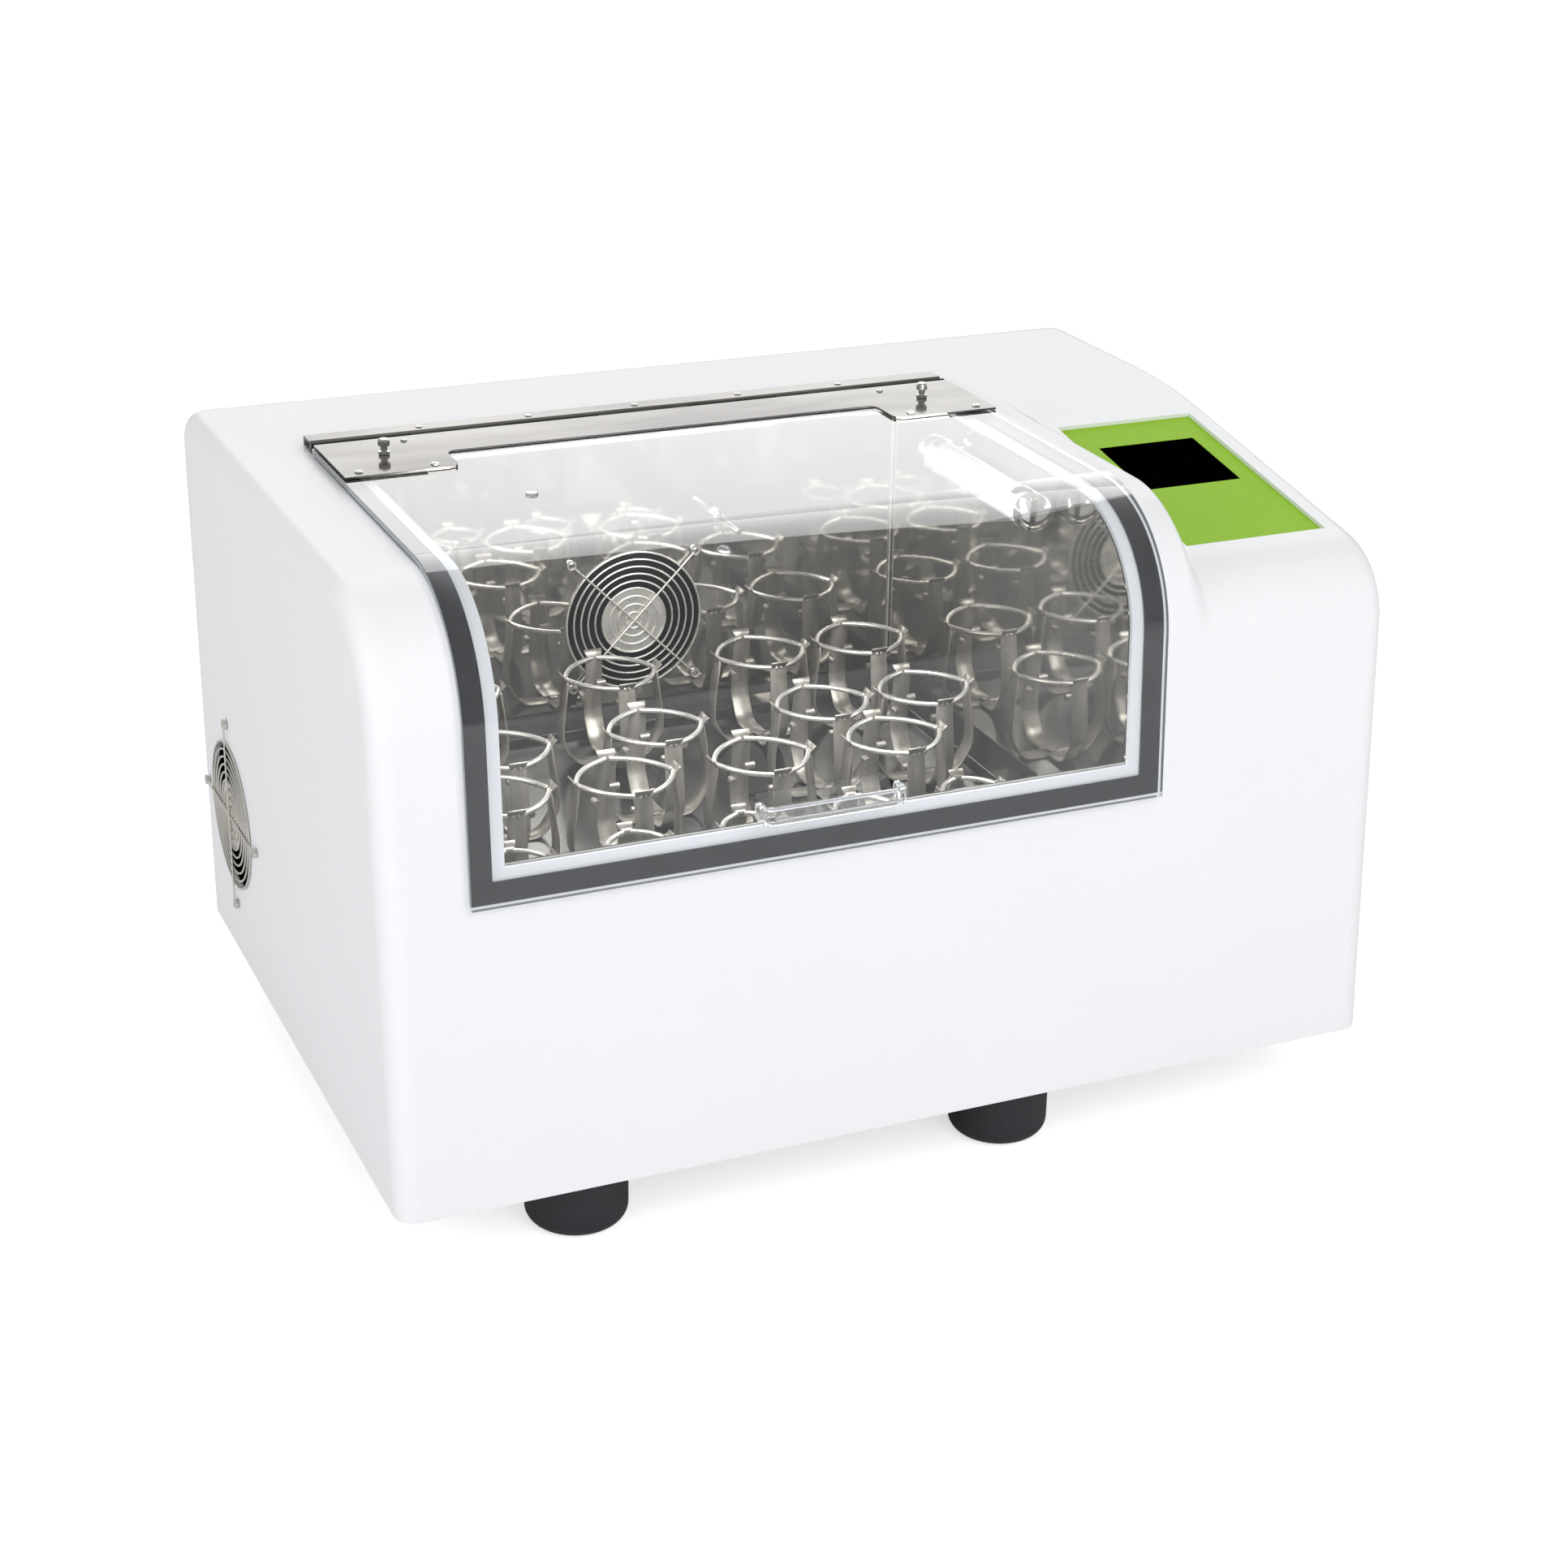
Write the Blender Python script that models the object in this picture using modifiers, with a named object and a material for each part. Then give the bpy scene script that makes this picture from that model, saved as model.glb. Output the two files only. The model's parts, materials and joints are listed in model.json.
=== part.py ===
# Shaking incubator: a white bench cabinet with a clear hinged lid over a steel chamber,
# where a flask tray runs in small circles on an eccentric shaft and three idler cranks.
# Every length is in metres. Pieces are placed in the cabinet frame: x from the cabinet's
# middle, y from the middle of its depth (front is -y), z up from its bottom edge.
import math

import bmesh
import bpy
from mathutils import Matrix, Vector

MM = 0.001

# Fits
FIT = 0.3 * MM            # gap between two pieces that touch
RUN = 0.5 * MM            # radial gap of a turning fit

# Cabinet
CASE_W = 740 * MM
CASE_D = 524 * MM
CASE_H = 413 * MM
CASE_WALL = 3 * MM
FRONT_LEAN = 0.057        # how far the front leans back for each metre of height
KNEE_R = 88 * MM          # round front edge of the lid bay
REAR_R = 28 * MM
SIDE_R = 15 * MM
ARC_STEPS = 8
SIDE_STEPS = 3

# Lower control wing to the right of the lid bay
WING_SLOPE = math.radians(9.8)
WING_BREAK_Y = 62 * MM    # where the wing's slope meets the level top
WING_BREAK_R = 500 * MM
WING_KNEE_R = 58 * MM
WING_W = 162 * MM         # the wing and the step beside it
FLANK_X = CASE_W / 2 - WING_W
FLANK_W = 18 * MM
FLANK_STEPS = 5

# Feet
FOOT_H = 55 * MM
FOOT_R = 36 * MM
FOOT_EDGE_R = 10 * MM
FOOT_IN_LEFT = 141 * MM   # from the cabinet's left side to the left feet
FOOT_IN_RIGHT = 273 * MM
FOOT_SETBACK = 57 * MM    # from the cabinet's front and rear to the feet
FEET_SPREAD_Y = CASE_D / 2 - FOOT_SETBACK

# Base pan
PAN_T = 2 * MM
PAN_FLANGE = 14 * MM

# Lid, gasket and the opening under them
LID_SIDE = 57 * MM        # from the cabinet's left side to the lid
LID_FLANK_GAP = 21 * MM
LID_X0 = -CASE_W / 2 + LID_SIDE
LID_X1 = FLANK_X - LID_FLANK_GAP
LID_BOTTOM_Z = 214 * MM
LID_T = 4 * MM
GASKET_T = 2 * MM
GASKET_INSET = 4 * MM
GASKET_W = 12 * MM
BAND_W = 9 * MM           # white rim left between the gasket and the opening
HINGE_Y = 97 * MM
LID_REAR_GAP = 6 * MM     # from the hinge's axis to the lid's rear edge

# Hinge
BARREL_R = 4 * MM
PIN_R = 2 * MM
LEAF_T = 1.5 * MM
LEAF_MARGIN = 2 * MM
FIXED_LEAF_DEPTH = 16 * MM
KNUCKLES = 7
KNUCKLE_GAP = 0.6 * MM
TAB_DEPTH = 87 * MM
TAB_WIDTH = 82 * MM
TAB_R = 8 * MM
STRIP_DEPTH = 50 * MM
STUD_R = 4 * MM
STUD_H = 11 * MM
STUD_INSET = 40 * MM
STUD_DEPTH = 43 * MM

# Handle on the lid's front
HANDLE_X = -68 * MM
HANDLE_L = 104 * MM
HANDLE_Z = 252 * MM
HANDLE_H = 12 * MM
HANDLE_T = 5 * MM
HANDLE_REACH = 18 * MM
HANDLE_R = 9 * MM

# Chamber
CHAMBER_SIDE = 68 * MM    # room for the vent fan beside the chamber
CHAMBER_FLANK_GAP = 6 * MM
CHAMBER_REAR_GAP = 47 * MM  # room for the air fan behind it
CHAMBER_X0 = -CASE_W / 2 + CHAMBER_SIDE
CHAMBER_X1 = FLANK_X - CHAMBER_FLANK_GAP
CHAMBER_BACK_Y = CASE_D / 2 - CHAMBER_REAR_GAP
FLOOR_Z = 74.5 * MM
LINER_T = 1.5 * MM

# Control panel in the wing
PANEL_SIDE = 22 * MM      # from the cabinet's right side to the panel's window
PANEL_W = 114 * MM
PANEL_X1 = CASE_W / 2 - PANEL_SIDE
PANEL_X0 = PANEL_X1 - PANEL_W
PANEL_TOP_Y = 3 * MM
PANEL_L = 195 * MM
PANEL_T = 2 * MM
PANEL_LAP = 4 * MM
SCREEN_W = 80 * MM
SCREEN_L = 70 * MM
SCREEN_DROP = 34 * MM     # from the panel's top edge to the screen
SCREEN_OFF_X = 18 * MM
SCREEN_T = 8 * MM
BOARD_T = 3 * MM
BOARD_MARGIN = 6 * MM

# Fans
FAN_SIZE = 120 * MM
FAN_DEPTH = 25 * MM
FAN_BORE_R = 56.5 * MM
FAN_CORNER = 7 * MM
FAN_PITCH = 105 * MM
FAN_HUB_R = 21 * MM
FAN_BLADES = 7
BLADE_TIP_GAP = 2 * MM
BLADE_T = 1.6 * MM
BLADE_PITCH = math.radians(38)
GUARD_RINGS = 6
GUARD_R = 57 * MM
GUARD_HUB_R = 14 * MM
GUARD_WIRE_R = 1.1 * MM
GUARD_EYE_R = 4.5 * MM
SPIDER_T = 2.5 * MM
VENT_FAN_REAR = 96 * MM   # from the cabinet's rear to the vent fan's axis
VENT_FAN_Y = CASE_D / 2 - VENT_FAN_REAR
VENT_FAN_Z = 117 * MM
AIR_FAN_X = -27 * MM
AIR_FAN_Z = 213 * MM

# Heater, lamp and probe
HEATER_R = 3.2 * MM
HEATER_W = 60 * MM
HEATER_H = 118 * MM
LAMP_R = 13 * MM
LAMP_OFF_WALL = 21 * MM
LAMP_DROP = 51 * MM       # from the cabinet's top to the lamp's axis
LAMP_X = CHAMBER_X1 - LAMP_OFF_WALL
LAMP_Z = CASE_H - LAMP_DROP
LAMP_Y0 = -72 * MM
LAMP_Y1 = 108 * MM
LAMP_CAP_L = 16 * MM
CLIP_W = 9 * MM
CLIP_T = 1.2 * MM
CLIP_FOOT = 6 * MM
PROBE_R = 2.5 * MM
PROBE_L = 46 * MM
PROBE_X = 45 * MM
PROBE_Z = 292 * MM

# Orbiting drive
ORBIT_R = 10 * MM
DRIVE_X = -50 * MM
DRIVE_Y = 66 * MM
SHAFT_R = 10 * MM
CRANK_PIN_R = 6 * MM
HOUSING_R = 44 * MM
HOUSING_NECK_R = 28 * MM
HOUSING_FLANGE_T = 6 * MM
HOUSING_H = 30 * MM
WEB_T = 8 * MM
COUNTER_R = 58 * MM
IDLER_SHAFT_R = 6 * MM
IDLER_PIN_R = 4.5 * MM
IDLER_BLOCK_R = 22 * MM
IDLER_Y = -90 * MM
SHAFT_FOOT_Z = 9 * MM
PULLEY_Z = 13 * MM
PULLEY_T = 14 * MM
PULLEY_R = 70 * MM
MOTOR_X = 128 * MM
MOTOR_R = 42 * MM
MOTOR_BODY_Z = 33 * MM
MOTOR_SHAFT_R = 5 * MM
MOTOR_PULLEY_R = 20 * MM
BELT_T = 3 * MM
BELT_W = 9 * MM

# Tray and its carriage
CARRIAGE_T = 3 * MM
CARRIAGE_FLANGE = 8 * MM
BOSS_R = 17 * MM
BOSS_H = 5 * MM
TRAY_ROOM_X = 24.5 * MM     # half of what the chamber is wider than the tray
TRAY_ROOM_Y = 67 * MM
TRAY_OFF_X = 7 * MM         # the tray's middle at rest, at the right end of its circle
TRAY_W = CHAMBER_X1 - CHAMBER_X0 - 2 * TRAY_ROOM_X
TRAY_D = CASE_D - 2 * TRAY_ROOM_Y
TRAY_X = (CHAMBER_X0 + CHAMBER_X1) / 2 + TRAY_OFF_X
TRAY_Y = -4 * MM
CARRIAGE_INSET_X = 32.5 * MM
CARRIAGE_INSET_Y = 40 * MM
CARRIAGE_W = TRAY_W - 2 * CARRIAGE_INSET_X
CARRIAGE_D = TRAY_D - 2 * CARRIAGE_INSET_Y
IDLER_INSET = 45 * MM       # from the carriage's side to an idler
IDLER_SPREAD_X = CARRIAGE_W / 2 - IDLER_INSET
TRAY_T = 1.5 * MM
TRAY_RIM = 11 * MM
TRAY_CORNER_R = 12 * MM

# Flask clamps: base radius, belly radius, mouth radius, height, strip width
LARGE_CLAMP = dict(base=29 * MM, belly=42 * MM, mouth=36.5 * MM, height=76 * MM, strip=15 * MM)
SMALL_CLAMP = dict(base=20 * MM, belly=29 * MM, mouth=22 * MM, height=60 * MM, strip=12 * MM)
CLAMP_LOW = 0.24           # share of the height where the fingers' belly starts
CLAMP_HIGH = 0.46          # and where it ends
CLAMP_T = 1.3 * MM
CLAMP_CROSS = 1 * MM       # how far the upper strip lies above the lower one
CLAMP_LIP = 4 * MM
SPRING_R = 1.5 * MM
SMALL_CLAMP_Y = -130 * MM
SMALL_CLAMP_XS = tuple(x * MM for x in (-240, -154, -68, 18, 104))
LARGE_CLAMP_ROWS = (
    (-52 * MM, tuple(x * MM for x in (-228, -134, -28, 79))),
    (28 * MM, tuple(x * MM for x in (-200, -80, 56, 142))),
    (146 * MM, tuple(x * MM for x in (-200, -72, 55, 142))),
)

# Electrics in the right bay
INLET_SIDE = 70 * MM       # from the cabinet's right side
INLET_X = CASE_W / 2 - INLET_SIDE
INLET_Z = 58 * MM
INLET_W = 48 * MM
INLET_H = 28 * MM
INLET_DEPTH = 30 * MM
INLET_FLANGE = 5 * MM
INLET_FLANGE_T = 2 * MM
INLET_WALL = 4 * MM
SWITCH_Z = 94 * MM
SWITCH_W = 28 * MM
SWITCH_H = 21 * MM
SWITCH_TILT = math.radians(12)
SUPPLY_W = 100 * MM
SUPPLY_D = 200 * MM
SUPPLY_H = 50 * MM
SUPPLY_SIDE = 80 * MM
SUPPLY_X = CASE_W / 2 - SUPPLY_SIDE
SUPPLY_Y = 60 * MM
VENT_SLOTS = 8
VENT_SLOT_W = 60 * MM
VENT_SLOT_H = 4 * MM
VENT_PITCH = 11 * MM
VENT_Z = 160 * MM

# Levels worked out from the values above
LEAN_LEN = math.sqrt(1 + FRONT_LEAN ** 2)
LID_LIFT = FIT + GASKET_T + FIT
LID_TOP = LID_LIFT + LID_T
OPENING_INSET = GASKET_INSET + GASKET_W + BAND_W
HINGE_Z = CASE_H + FIT + BARREL_R
LID_REAR_Y = HINGE_Y - LID_REAR_GAP
FLOOR_TOP = FLOOR_Z + LINER_T
HOUSING_TOP = FLOOR_TOP + FIT + HOUSING_H
WEB_TOP = HOUSING_TOP + FIT + WEB_T
CARRIAGE_Z = WEB_TOP + RUN + BOSS_H
PIN_TOP = CARRIAGE_Z + CARRIAGE_T - FIT
TRAY_Z = CARRIAGE_Z + CARRIAGE_T + FIT
TRAY_TOP = TRAY_Z + TRAY_T
GUARD_PROUD = FIT + 3.6 * GUARD_WIRE_R
HANDLE_FRONT = CASE_D / 2 - FRONT_LEAN * HANDLE_Z + (LID_TOP + FIT + HANDLE_REACH) * LEAN_LEN
REAR_PROUD = FIT + INLET_FLANGE_T
SHIFT_X = GUARD_PROUD / 2
SHIFT_Y = (HANDLE_FRONT - CASE_D / 2 - REAR_PROUD) / 2

YZ = Matrix(((0, 0, 1), (1, 0, 0), (0, 1, 0))).to_4x4()    # outline x, y to world y, z
XY = Matrix.Identity(4)
XZ = Matrix(((1, 0, 0), (0, 0, -1), (0, 1, 0))).to_4x4()   # outline x, y to world x, z


def clear_scene():
    for item in list(bpy.data.objects):
        bpy.data.objects.remove(item, do_unlink=True)


clear_scene()
PARTS = bpy.data.collections.new("shaking_incubator")
CUTTERS = bpy.data.collections.new("cutters")
bpy.context.scene.collection.children.link(PARTS)
bpy.context.scene.collection.children.link(CUTTERS)


def add_empty(name, place, parent=None):
    empty = bpy.data.objects.new(name, None)
    PARTS.objects.link(empty)
    empty.location = place
    empty.parent = parent
    return empty


# The cabinet frame stands on the feet and is centred on the whole object's box.
CABINET = add_empty("cabinet_frame", (SHIFT_X, SHIFT_Y, FOOT_H))


def material(name, colour, roughness, metallic=0.0, alpha=1.0):
    made = bpy.data.materials.get(name)
    if made is None:
        made = bpy.data.materials.new(name)
        made.use_nodes = True
        shader = made.node_tree.nodes["Principled BSDF"]
        shader.inputs["Base Color"].default_value = (*colour, 1.0)
        shader.inputs["Roughness"].default_value = roughness
        shader.inputs["Metallic"].default_value = metallic
        shader.inputs["Alpha"].default_value = alpha
    return made


WHITE = material("white_shell", (0.86, 0.87, 0.88), 0.25)
STEEL = material("stainless_steel", (0.60, 0.60, 0.58), 0.2, 1.0)
POLISHED = material("polished_steel", (0.75, 0.74, 0.72), 0.1, 1.0)
RUBBER = material("dark_rubber", (0.035, 0.037, 0.042), 0.6)
CLEAR = material("clear_acrylic", (0.95, 0.97, 0.98), 0.05, 0.0, 0.25)
GREEN = material("green_overlay", (0.27, 0.53, 0.08), 0.4)
SCREEN = material("screen_glass", (0.005, 0.005, 0.006), 0.1)
BLACK = material("black_plastic", (0.02, 0.02, 0.022), 0.5)
LAMP = material("lamp_glass", (0.9, 0.9, 0.88), 0.3)
CAST = material("cast_metal", (0.35, 0.36, 0.37), 0.5, 1.0)
ZINC = material("plated_steel", (0.5, 0.51, 0.52), 0.35, 1.0)


def place(mesh, name, finish, parent=None, at=(0, 0, 0), turn=None, cutter=False):
    made = bpy.data.objects.new(name, mesh)
    (CUTTERS if cutter else PARTS).objects.link(made)
    made.parent = parent or CABINET
    made.matrix_local = Matrix.Translation(at) @ (turn or Matrix.Identity(4))
    if cutter:
        made.hide_render = True
        made.display_type = "WIRE"
    else:
        made.data.materials.append(finish)
    return made


def mesh_of(bm, name, smooth_angle=None):
    mesh = bpy.data.meshes.new(name)
    bm.normal_update()
    bm.to_mesh(mesh)
    bm.free()
    if smooth_angle:
        mesh.shade_smooth()
        mesh.set_sharp_from_angle(angle=smooth_angle)
    return mesh


def box_mesh(name, size, middle=(0, 0, 0)):
    bm = bmesh.new()
    bmesh.ops.create_cube(bm, size=1.0)
    bmesh.ops.scale(bm, vec=Vector(size), verts=bm.verts)
    bmesh.ops.translate(bm, vec=Vector(middle), verts=bm.verts)
    return mesh_of(bm, name)


def box_between(name, low, high):
    size = [h - l for l, h in zip(low, high)]
    middle = [(h + l) / 2 for l, h in zip(low, high)]
    return box_mesh(name, size, middle)


def cylinder_mesh(name, radius, depth, steps=24, middle=(0, 0, 0), turn=None):
    bm = bmesh.new()
    bmesh.ops.create_cone(bm, cap_ends=True, segments=steps, radius1=radius, radius2=radius, depth=depth)
    if turn:
        bmesh.ops.transform(bm, matrix=turn, verts=bm.verts)
    bmesh.ops.translate(bm, vec=Vector(middle), verts=bm.verts)
    return mesh_of(bm, name, math.radians(40))


def outline_mesh(name, outline, thickness, turn, middle):
    """A flat outline given thickness, turned into its plane and moved to its middle."""
    curve = bpy.data.curves.new(name, "CURVE")
    curve.dimensions = "2D"
    curve.fill_mode = "BOTH"
    curve.extrude = thickness / 2
    spline = curve.splines.new("POLY")
    spline.points.add(len(outline) - 1)
    for point, (x, y) in zip(spline.points, outline):
        point.co = (x, y, 0, 1)
    spline.use_cyclic_u = True
    drawn = bpy.data.objects.new(name + "_outline", curve)
    CUTTERS.objects.link(drawn)
    graph = bpy.context.evaluated_depsgraph_get()
    mesh = bpy.data.meshes.new_from_object(drawn.evaluated_get(graph))
    bpy.data.objects.remove(drawn, do_unlink=True)
    bpy.data.curves.remove(curve)
    bm = bmesh.new()
    bm.from_mesh(mesh)
    bmesh.ops.remove_doubles(bm, verts=bm.verts, dist=0.00002)
    bmesh.ops.recalc_face_normals(bm, faces=bm.faces)
    bmesh.ops.transform(bm, matrix=Matrix.Translation(middle) @ turn, verts=bm.verts)
    bm.to_mesh(mesh)
    bm.free()
    mesh.materials.clear()
    return mesh


def turned(name, profile, steps, finish, parent=None, at=(0, 0, 0), turn=None, closed=False):
    """A turned piece: its radius and height pairs run down the outer side."""
    mesh = bpy.data.meshes.new(name)
    bm = bmesh.new()
    points = [bm.verts.new((radius, 0, height)) for radius, height in profile]
    ends = points[1:] + points[:1] if closed else points[1:]
    for start, end in zip(points, ends):
        bm.edges.new((start, end))
    bm.to_mesh(mesh)
    bm.free()
    made = place(mesh, name, finish, parent, at, turn)
    screw = made.modifiers.new("turn", "SCREW")
    screw.steps = steps
    screw.render_steps = steps
    screw.use_merge_vertices = True
    screw.merge_threshold = 0.00001
    screw.use_smooth_shade = False
    return made


def tube(name, points, radius, finish):
    """A wire or tube along a list of points, closed at its ends."""
    curve = bpy.data.curves.new(name, "CURVE")
    curve.dimensions = "3D"
    curve.bevel_depth = radius
    curve.bevel_resolution = 1
    curve.use_fill_caps = True
    spline = curve.splines.new("POLY")
    spline.points.add(len(points) - 1)
    for point, where in zip(spline.points, points):
        point.co = (*where, 1)
    made = bpy.data.objects.new(name, curve)
    PARTS.objects.link(made)
    made.parent = CABINET
    curve.materials.append(finish)


def spin_ring(bm, section, axis, steps):
    """A closed section turned all the way round an axis through the origin."""
    verts = [bm.verts.new(point) for point in section]
    edges = [bm.edges.new(pair) for pair in zip(verts, verts[1:] + verts[:1])]
    bmesh.ops.spin(bm, geom=verts + edges, cent=(0, 0, 0), axis=axis, angle=2 * math.pi, steps=steps,
                   use_merge=True)


def wire_section(radius, height, wire_r):
    """A square wire section on its corner, at a radius and a height."""
    return [(radius + wire_r, 0, height), (radius, 0, height + wire_r), (radius - wire_r, 0, height),
            (radius, 0, height - wire_r)]


def boolean(target, tool, operation="DIFFERENCE"):
    step = target.modifiers.new(operation.lower(), "BOOLEAN")
    step.operation = operation
    step.solver = "EXACT"
    step.object = tool
    return step


def solidify(target, thickness, offset=-1):
    step = target.modifiers.new("wall", "SOLIDIFY")
    step.thickness = thickness
    step.offset = offset
    step.use_even_offset = True
    return step


def rounded_box_outline(x0, y0, x1, y1, radius, steps=3):
    corners = ((x1, y1, 0), (x0, y1, 90), (x0, y0, 180), (x1, y0, 270))
    middle = Vector(((x0 + x1) / 2, (y0 + y1) / 2))
    points = []
    for x, y, start in corners:
        inward = Vector((math.copysign(radius, middle.x - x), math.copysign(radius, middle.y - y)))
        centre = Vector((x, y)) + inward
        for step in range(steps + 1):
            angle = math.radians(start + 90 * step / steps)
            points.append((centre.x + radius * math.cos(angle), centre.y + radius * math.sin(angle)))
    return points


def arc(centre, radius, start, end, steps):
    turns = [start + (end - start) * step / steps for step in range(steps + 1)]
    return [(centre[0] + radius * math.cos(a), centre[1] + radius * math.sin(a)) for a in turns]


# Cabinet outline in y and z
FRONT_ANGLE = math.pi - math.atan(FRONT_LEAN)


def front_y(z, proud=0.0):
    return -CASE_D / 2 + FRONT_LEAN * z - proud * LEAN_LEN


def bay_knee_centre():
    z = CASE_H - KNEE_R
    return front_y(z, -KNEE_R), z


def bay_path(proud, z_low, y_rear):
    """The lid bay's outline, set proud of the cabinet, from the front up and back."""
    knee = arc(bay_knee_centre(), KNEE_R + proud, FRONT_ANGLE, math.pi / 2, ARC_STEPS)
    return [(front_y(z_low, proud), z_low)] + knee + [(y_rear, CASE_H + proud)]


def bay_band(inner, outer, z_low, y_rear):
    return bay_path(outer, z_low, y_rear) + bay_path(inner, z_low, y_rear)[::-1]


def wing_knee_centre():
    """Centre of the wing's knee, one radius inside both its slope and its front."""
    cos, sin = math.cos(WING_SLOPE), math.sin(WING_SLOPE)
    y, z = WING_BREAK_Y, CASE_H
    for _ in range(40):
        y = front_y(z, -WING_KNEE_R)
        z = CASE_H - (WING_BREAK_Y - y) * sin / cos - WING_KNEE_R / cos
    return y, z


def case_section(wing, inset):
    """One cross-section of the cabinet: wing is 0 in the lid bay and 1 in the control wing."""
    reach = WING_BREAK_R * math.tan(WING_SLOPE / 2)
    crest = (WING_BREAK_Y + reach, CASE_H - WING_BREAK_R)
    slope_arc = arc(crest, WING_BREAK_R, math.pi / 2 + WING_SLOPE, math.pi / 2, 4)
    rear = arc((CASE_D / 2 - REAR_R, CASE_H - REAR_R), REAR_R, math.pi / 2, 0, 4)
    low = [(-CASE_D / 2, 0.0)]
    high = [(CASE_D / 2, 0.0)]
    bay = low + arc(bay_knee_centre(), KNEE_R, FRONT_ANGLE, math.pi / 2, ARC_STEPS)
    bay += [(y, CASE_H) for y, _ in slope_arc] + rear + high
    knee_end = math.pi / 2 + WING_SLOPE
    side = low + arc(wing_knee_centre(), WING_KNEE_R, FRONT_ANGLE, knee_end, ARC_STEPS)
    side += slope_arc + rear + high
    points = [Vector(a).lerp(Vector(b), wing) for a, b in zip(bay, side)]
    return inset_path(points, inset)


def inset_path(points, inset):
    moved = []
    for index, point in enumerate(points):
        before = points[max(index - 1, 0)]
        after = points[min(index + 1, len(points) - 1)]
        along = (after - before).normalized()
        inward = Vector((along.y, -along.x))
        moved.append(point + inward * inset)
    moved[0].y = 0.0
    moved[-1].y = 0.0
    return moved


def case_stations():
    """x, wing share and inset of each section, from the left side to the right."""
    quarter = [math.pi / 2 * step / SIDE_STEPS for step in range(SIDE_STEPS + 1)]
    for turn in reversed(quarter):
        yield -CASE_W / 2 + SIDE_R * (1 - math.sin(turn)), 0.0, SIDE_R * (1 - math.cos(turn))
    for step in range(FLANK_STEPS + 1):
        share = step / FLANK_STEPS
        yield FLANK_X + FLANK_W * share, share * share * (3 - 2 * share), 0.0
    for turn in quarter:
        yield CASE_W / 2 - SIDE_R * (1 - math.sin(turn)), 1.0, SIDE_R * (1 - math.cos(turn))


def loft_case():
    bm = bmesh.new()
    rows = []
    for x, wing, inset in case_stations():
        rows.append([bm.verts.new((x, y, z)) for y, z in case_section(wing, inset)])
    chains = [[bm.edges.new(pair) for pair in zip(row, row[1:])] for row in rows]
    for first, second in zip(chains, chains[1:]):
        bmesh.ops.bridge_loops(bm, edges=first + second)
    bm.faces.new(rows[0])
    bm.faces.new(rows[-1])
    bmesh.ops.recalc_face_normals(bm, faces=bm.faces)
    bm.faces.ensure_lookup_table()
    if max(bm.faces, key=lambda face: face.calc_center_median().z).normal.z < 0:
        bmesh.ops.reverse_faces(bm, faces=bm.faces)
    return mesh_of(bm, "case_shell", math.radians(30))


def opening_cutter():
    outline = bay_band(-40 * MM, 20 * MM, LID_BOTTOM_Z + OPENING_INSET, LID_REAR_Y - OPENING_INSET)
    width = LID_X1 - LID_X0 - 2 * OPENING_INSET
    mesh = outline_mesh("opening_cutter", outline, width, YZ, ((LID_X0 + LID_X1) / 2, 0, 0))
    return place(mesh, "opening_cutter", None, cutter=True)


def wing_frame(depth=0.0):
    """A frame on the wing's slope: y runs up the slope, z out of it, sunk by depth."""
    cos, sin = math.cos(WING_SLOPE), math.sin(WING_SLOPE)
    top = Vector((0, PANEL_TOP_Y, CASE_H - (WING_BREAK_Y - PANEL_TOP_Y) * sin / cos))
    normal = Vector((0, -sin, cos))
    return Matrix.Translation(top - normal * depth) @ Matrix.Rotation(WING_SLOPE, 4, "X")


def make_case():
    case = place(loft_case(), "case_shell", WHITE)
    solidify(case, CASE_WALL)
    boolean(case, opening_cutter())
    window = box_between("panel_cutter", (PANEL_X0, -PANEL_L, -15 * MM), (PANEL_X1, 0, 15 * MM))
    boolean(case, place(window, "panel_cutter", None, turn=wing_frame(), cutter=True))
    turn = Matrix.Rotation(math.pi / 2, 4, "Y")
    hole = cylinder_mesh("vent_fan_cutter", FAN_BORE_R, 40 * MM, 28, turn=turn)
    at = (-CASE_W / 2, VENT_FAN_Y, VENT_FAN_Z)
    boolean(case, place(hole, "vent_fan_cutter", None, at=at, cutter=True))
    boolean(case, rear_cutter())
    return case


def rear_cutter():
    """The mains module and the air slots behind the electrics, in one cutter."""
    bm = bmesh.new()
    low = INLET_Z - INLET_H / 2 - FIT
    high = SWITCH_Z + SWITCH_H / 2 + INLET_WALL + FIT
    holes = [(INLET_X, (low + high) / 2, INLET_W / 2 + FIT, (high - low) / 2)]
    for slot in range(VENT_SLOTS):
        holes.append((INLET_X, VENT_Z + slot * VENT_PITCH, VENT_SLOT_W / 2, VENT_SLOT_H / 2))
    for x, z, half_w, half_h in holes:
        made = bmesh.ops.create_cube(bm, size=1.0)["verts"]
        bmesh.ops.scale(bm, vec=(2 * half_w, 20 * MM, 2 * half_h), verts=made)
        bmesh.ops.translate(bm, vec=(x, CASE_D / 2, z), verts=made)
    return place(mesh_of(bm, "rear_cutter"), "rear_cutter", None, cutter=True)


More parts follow.
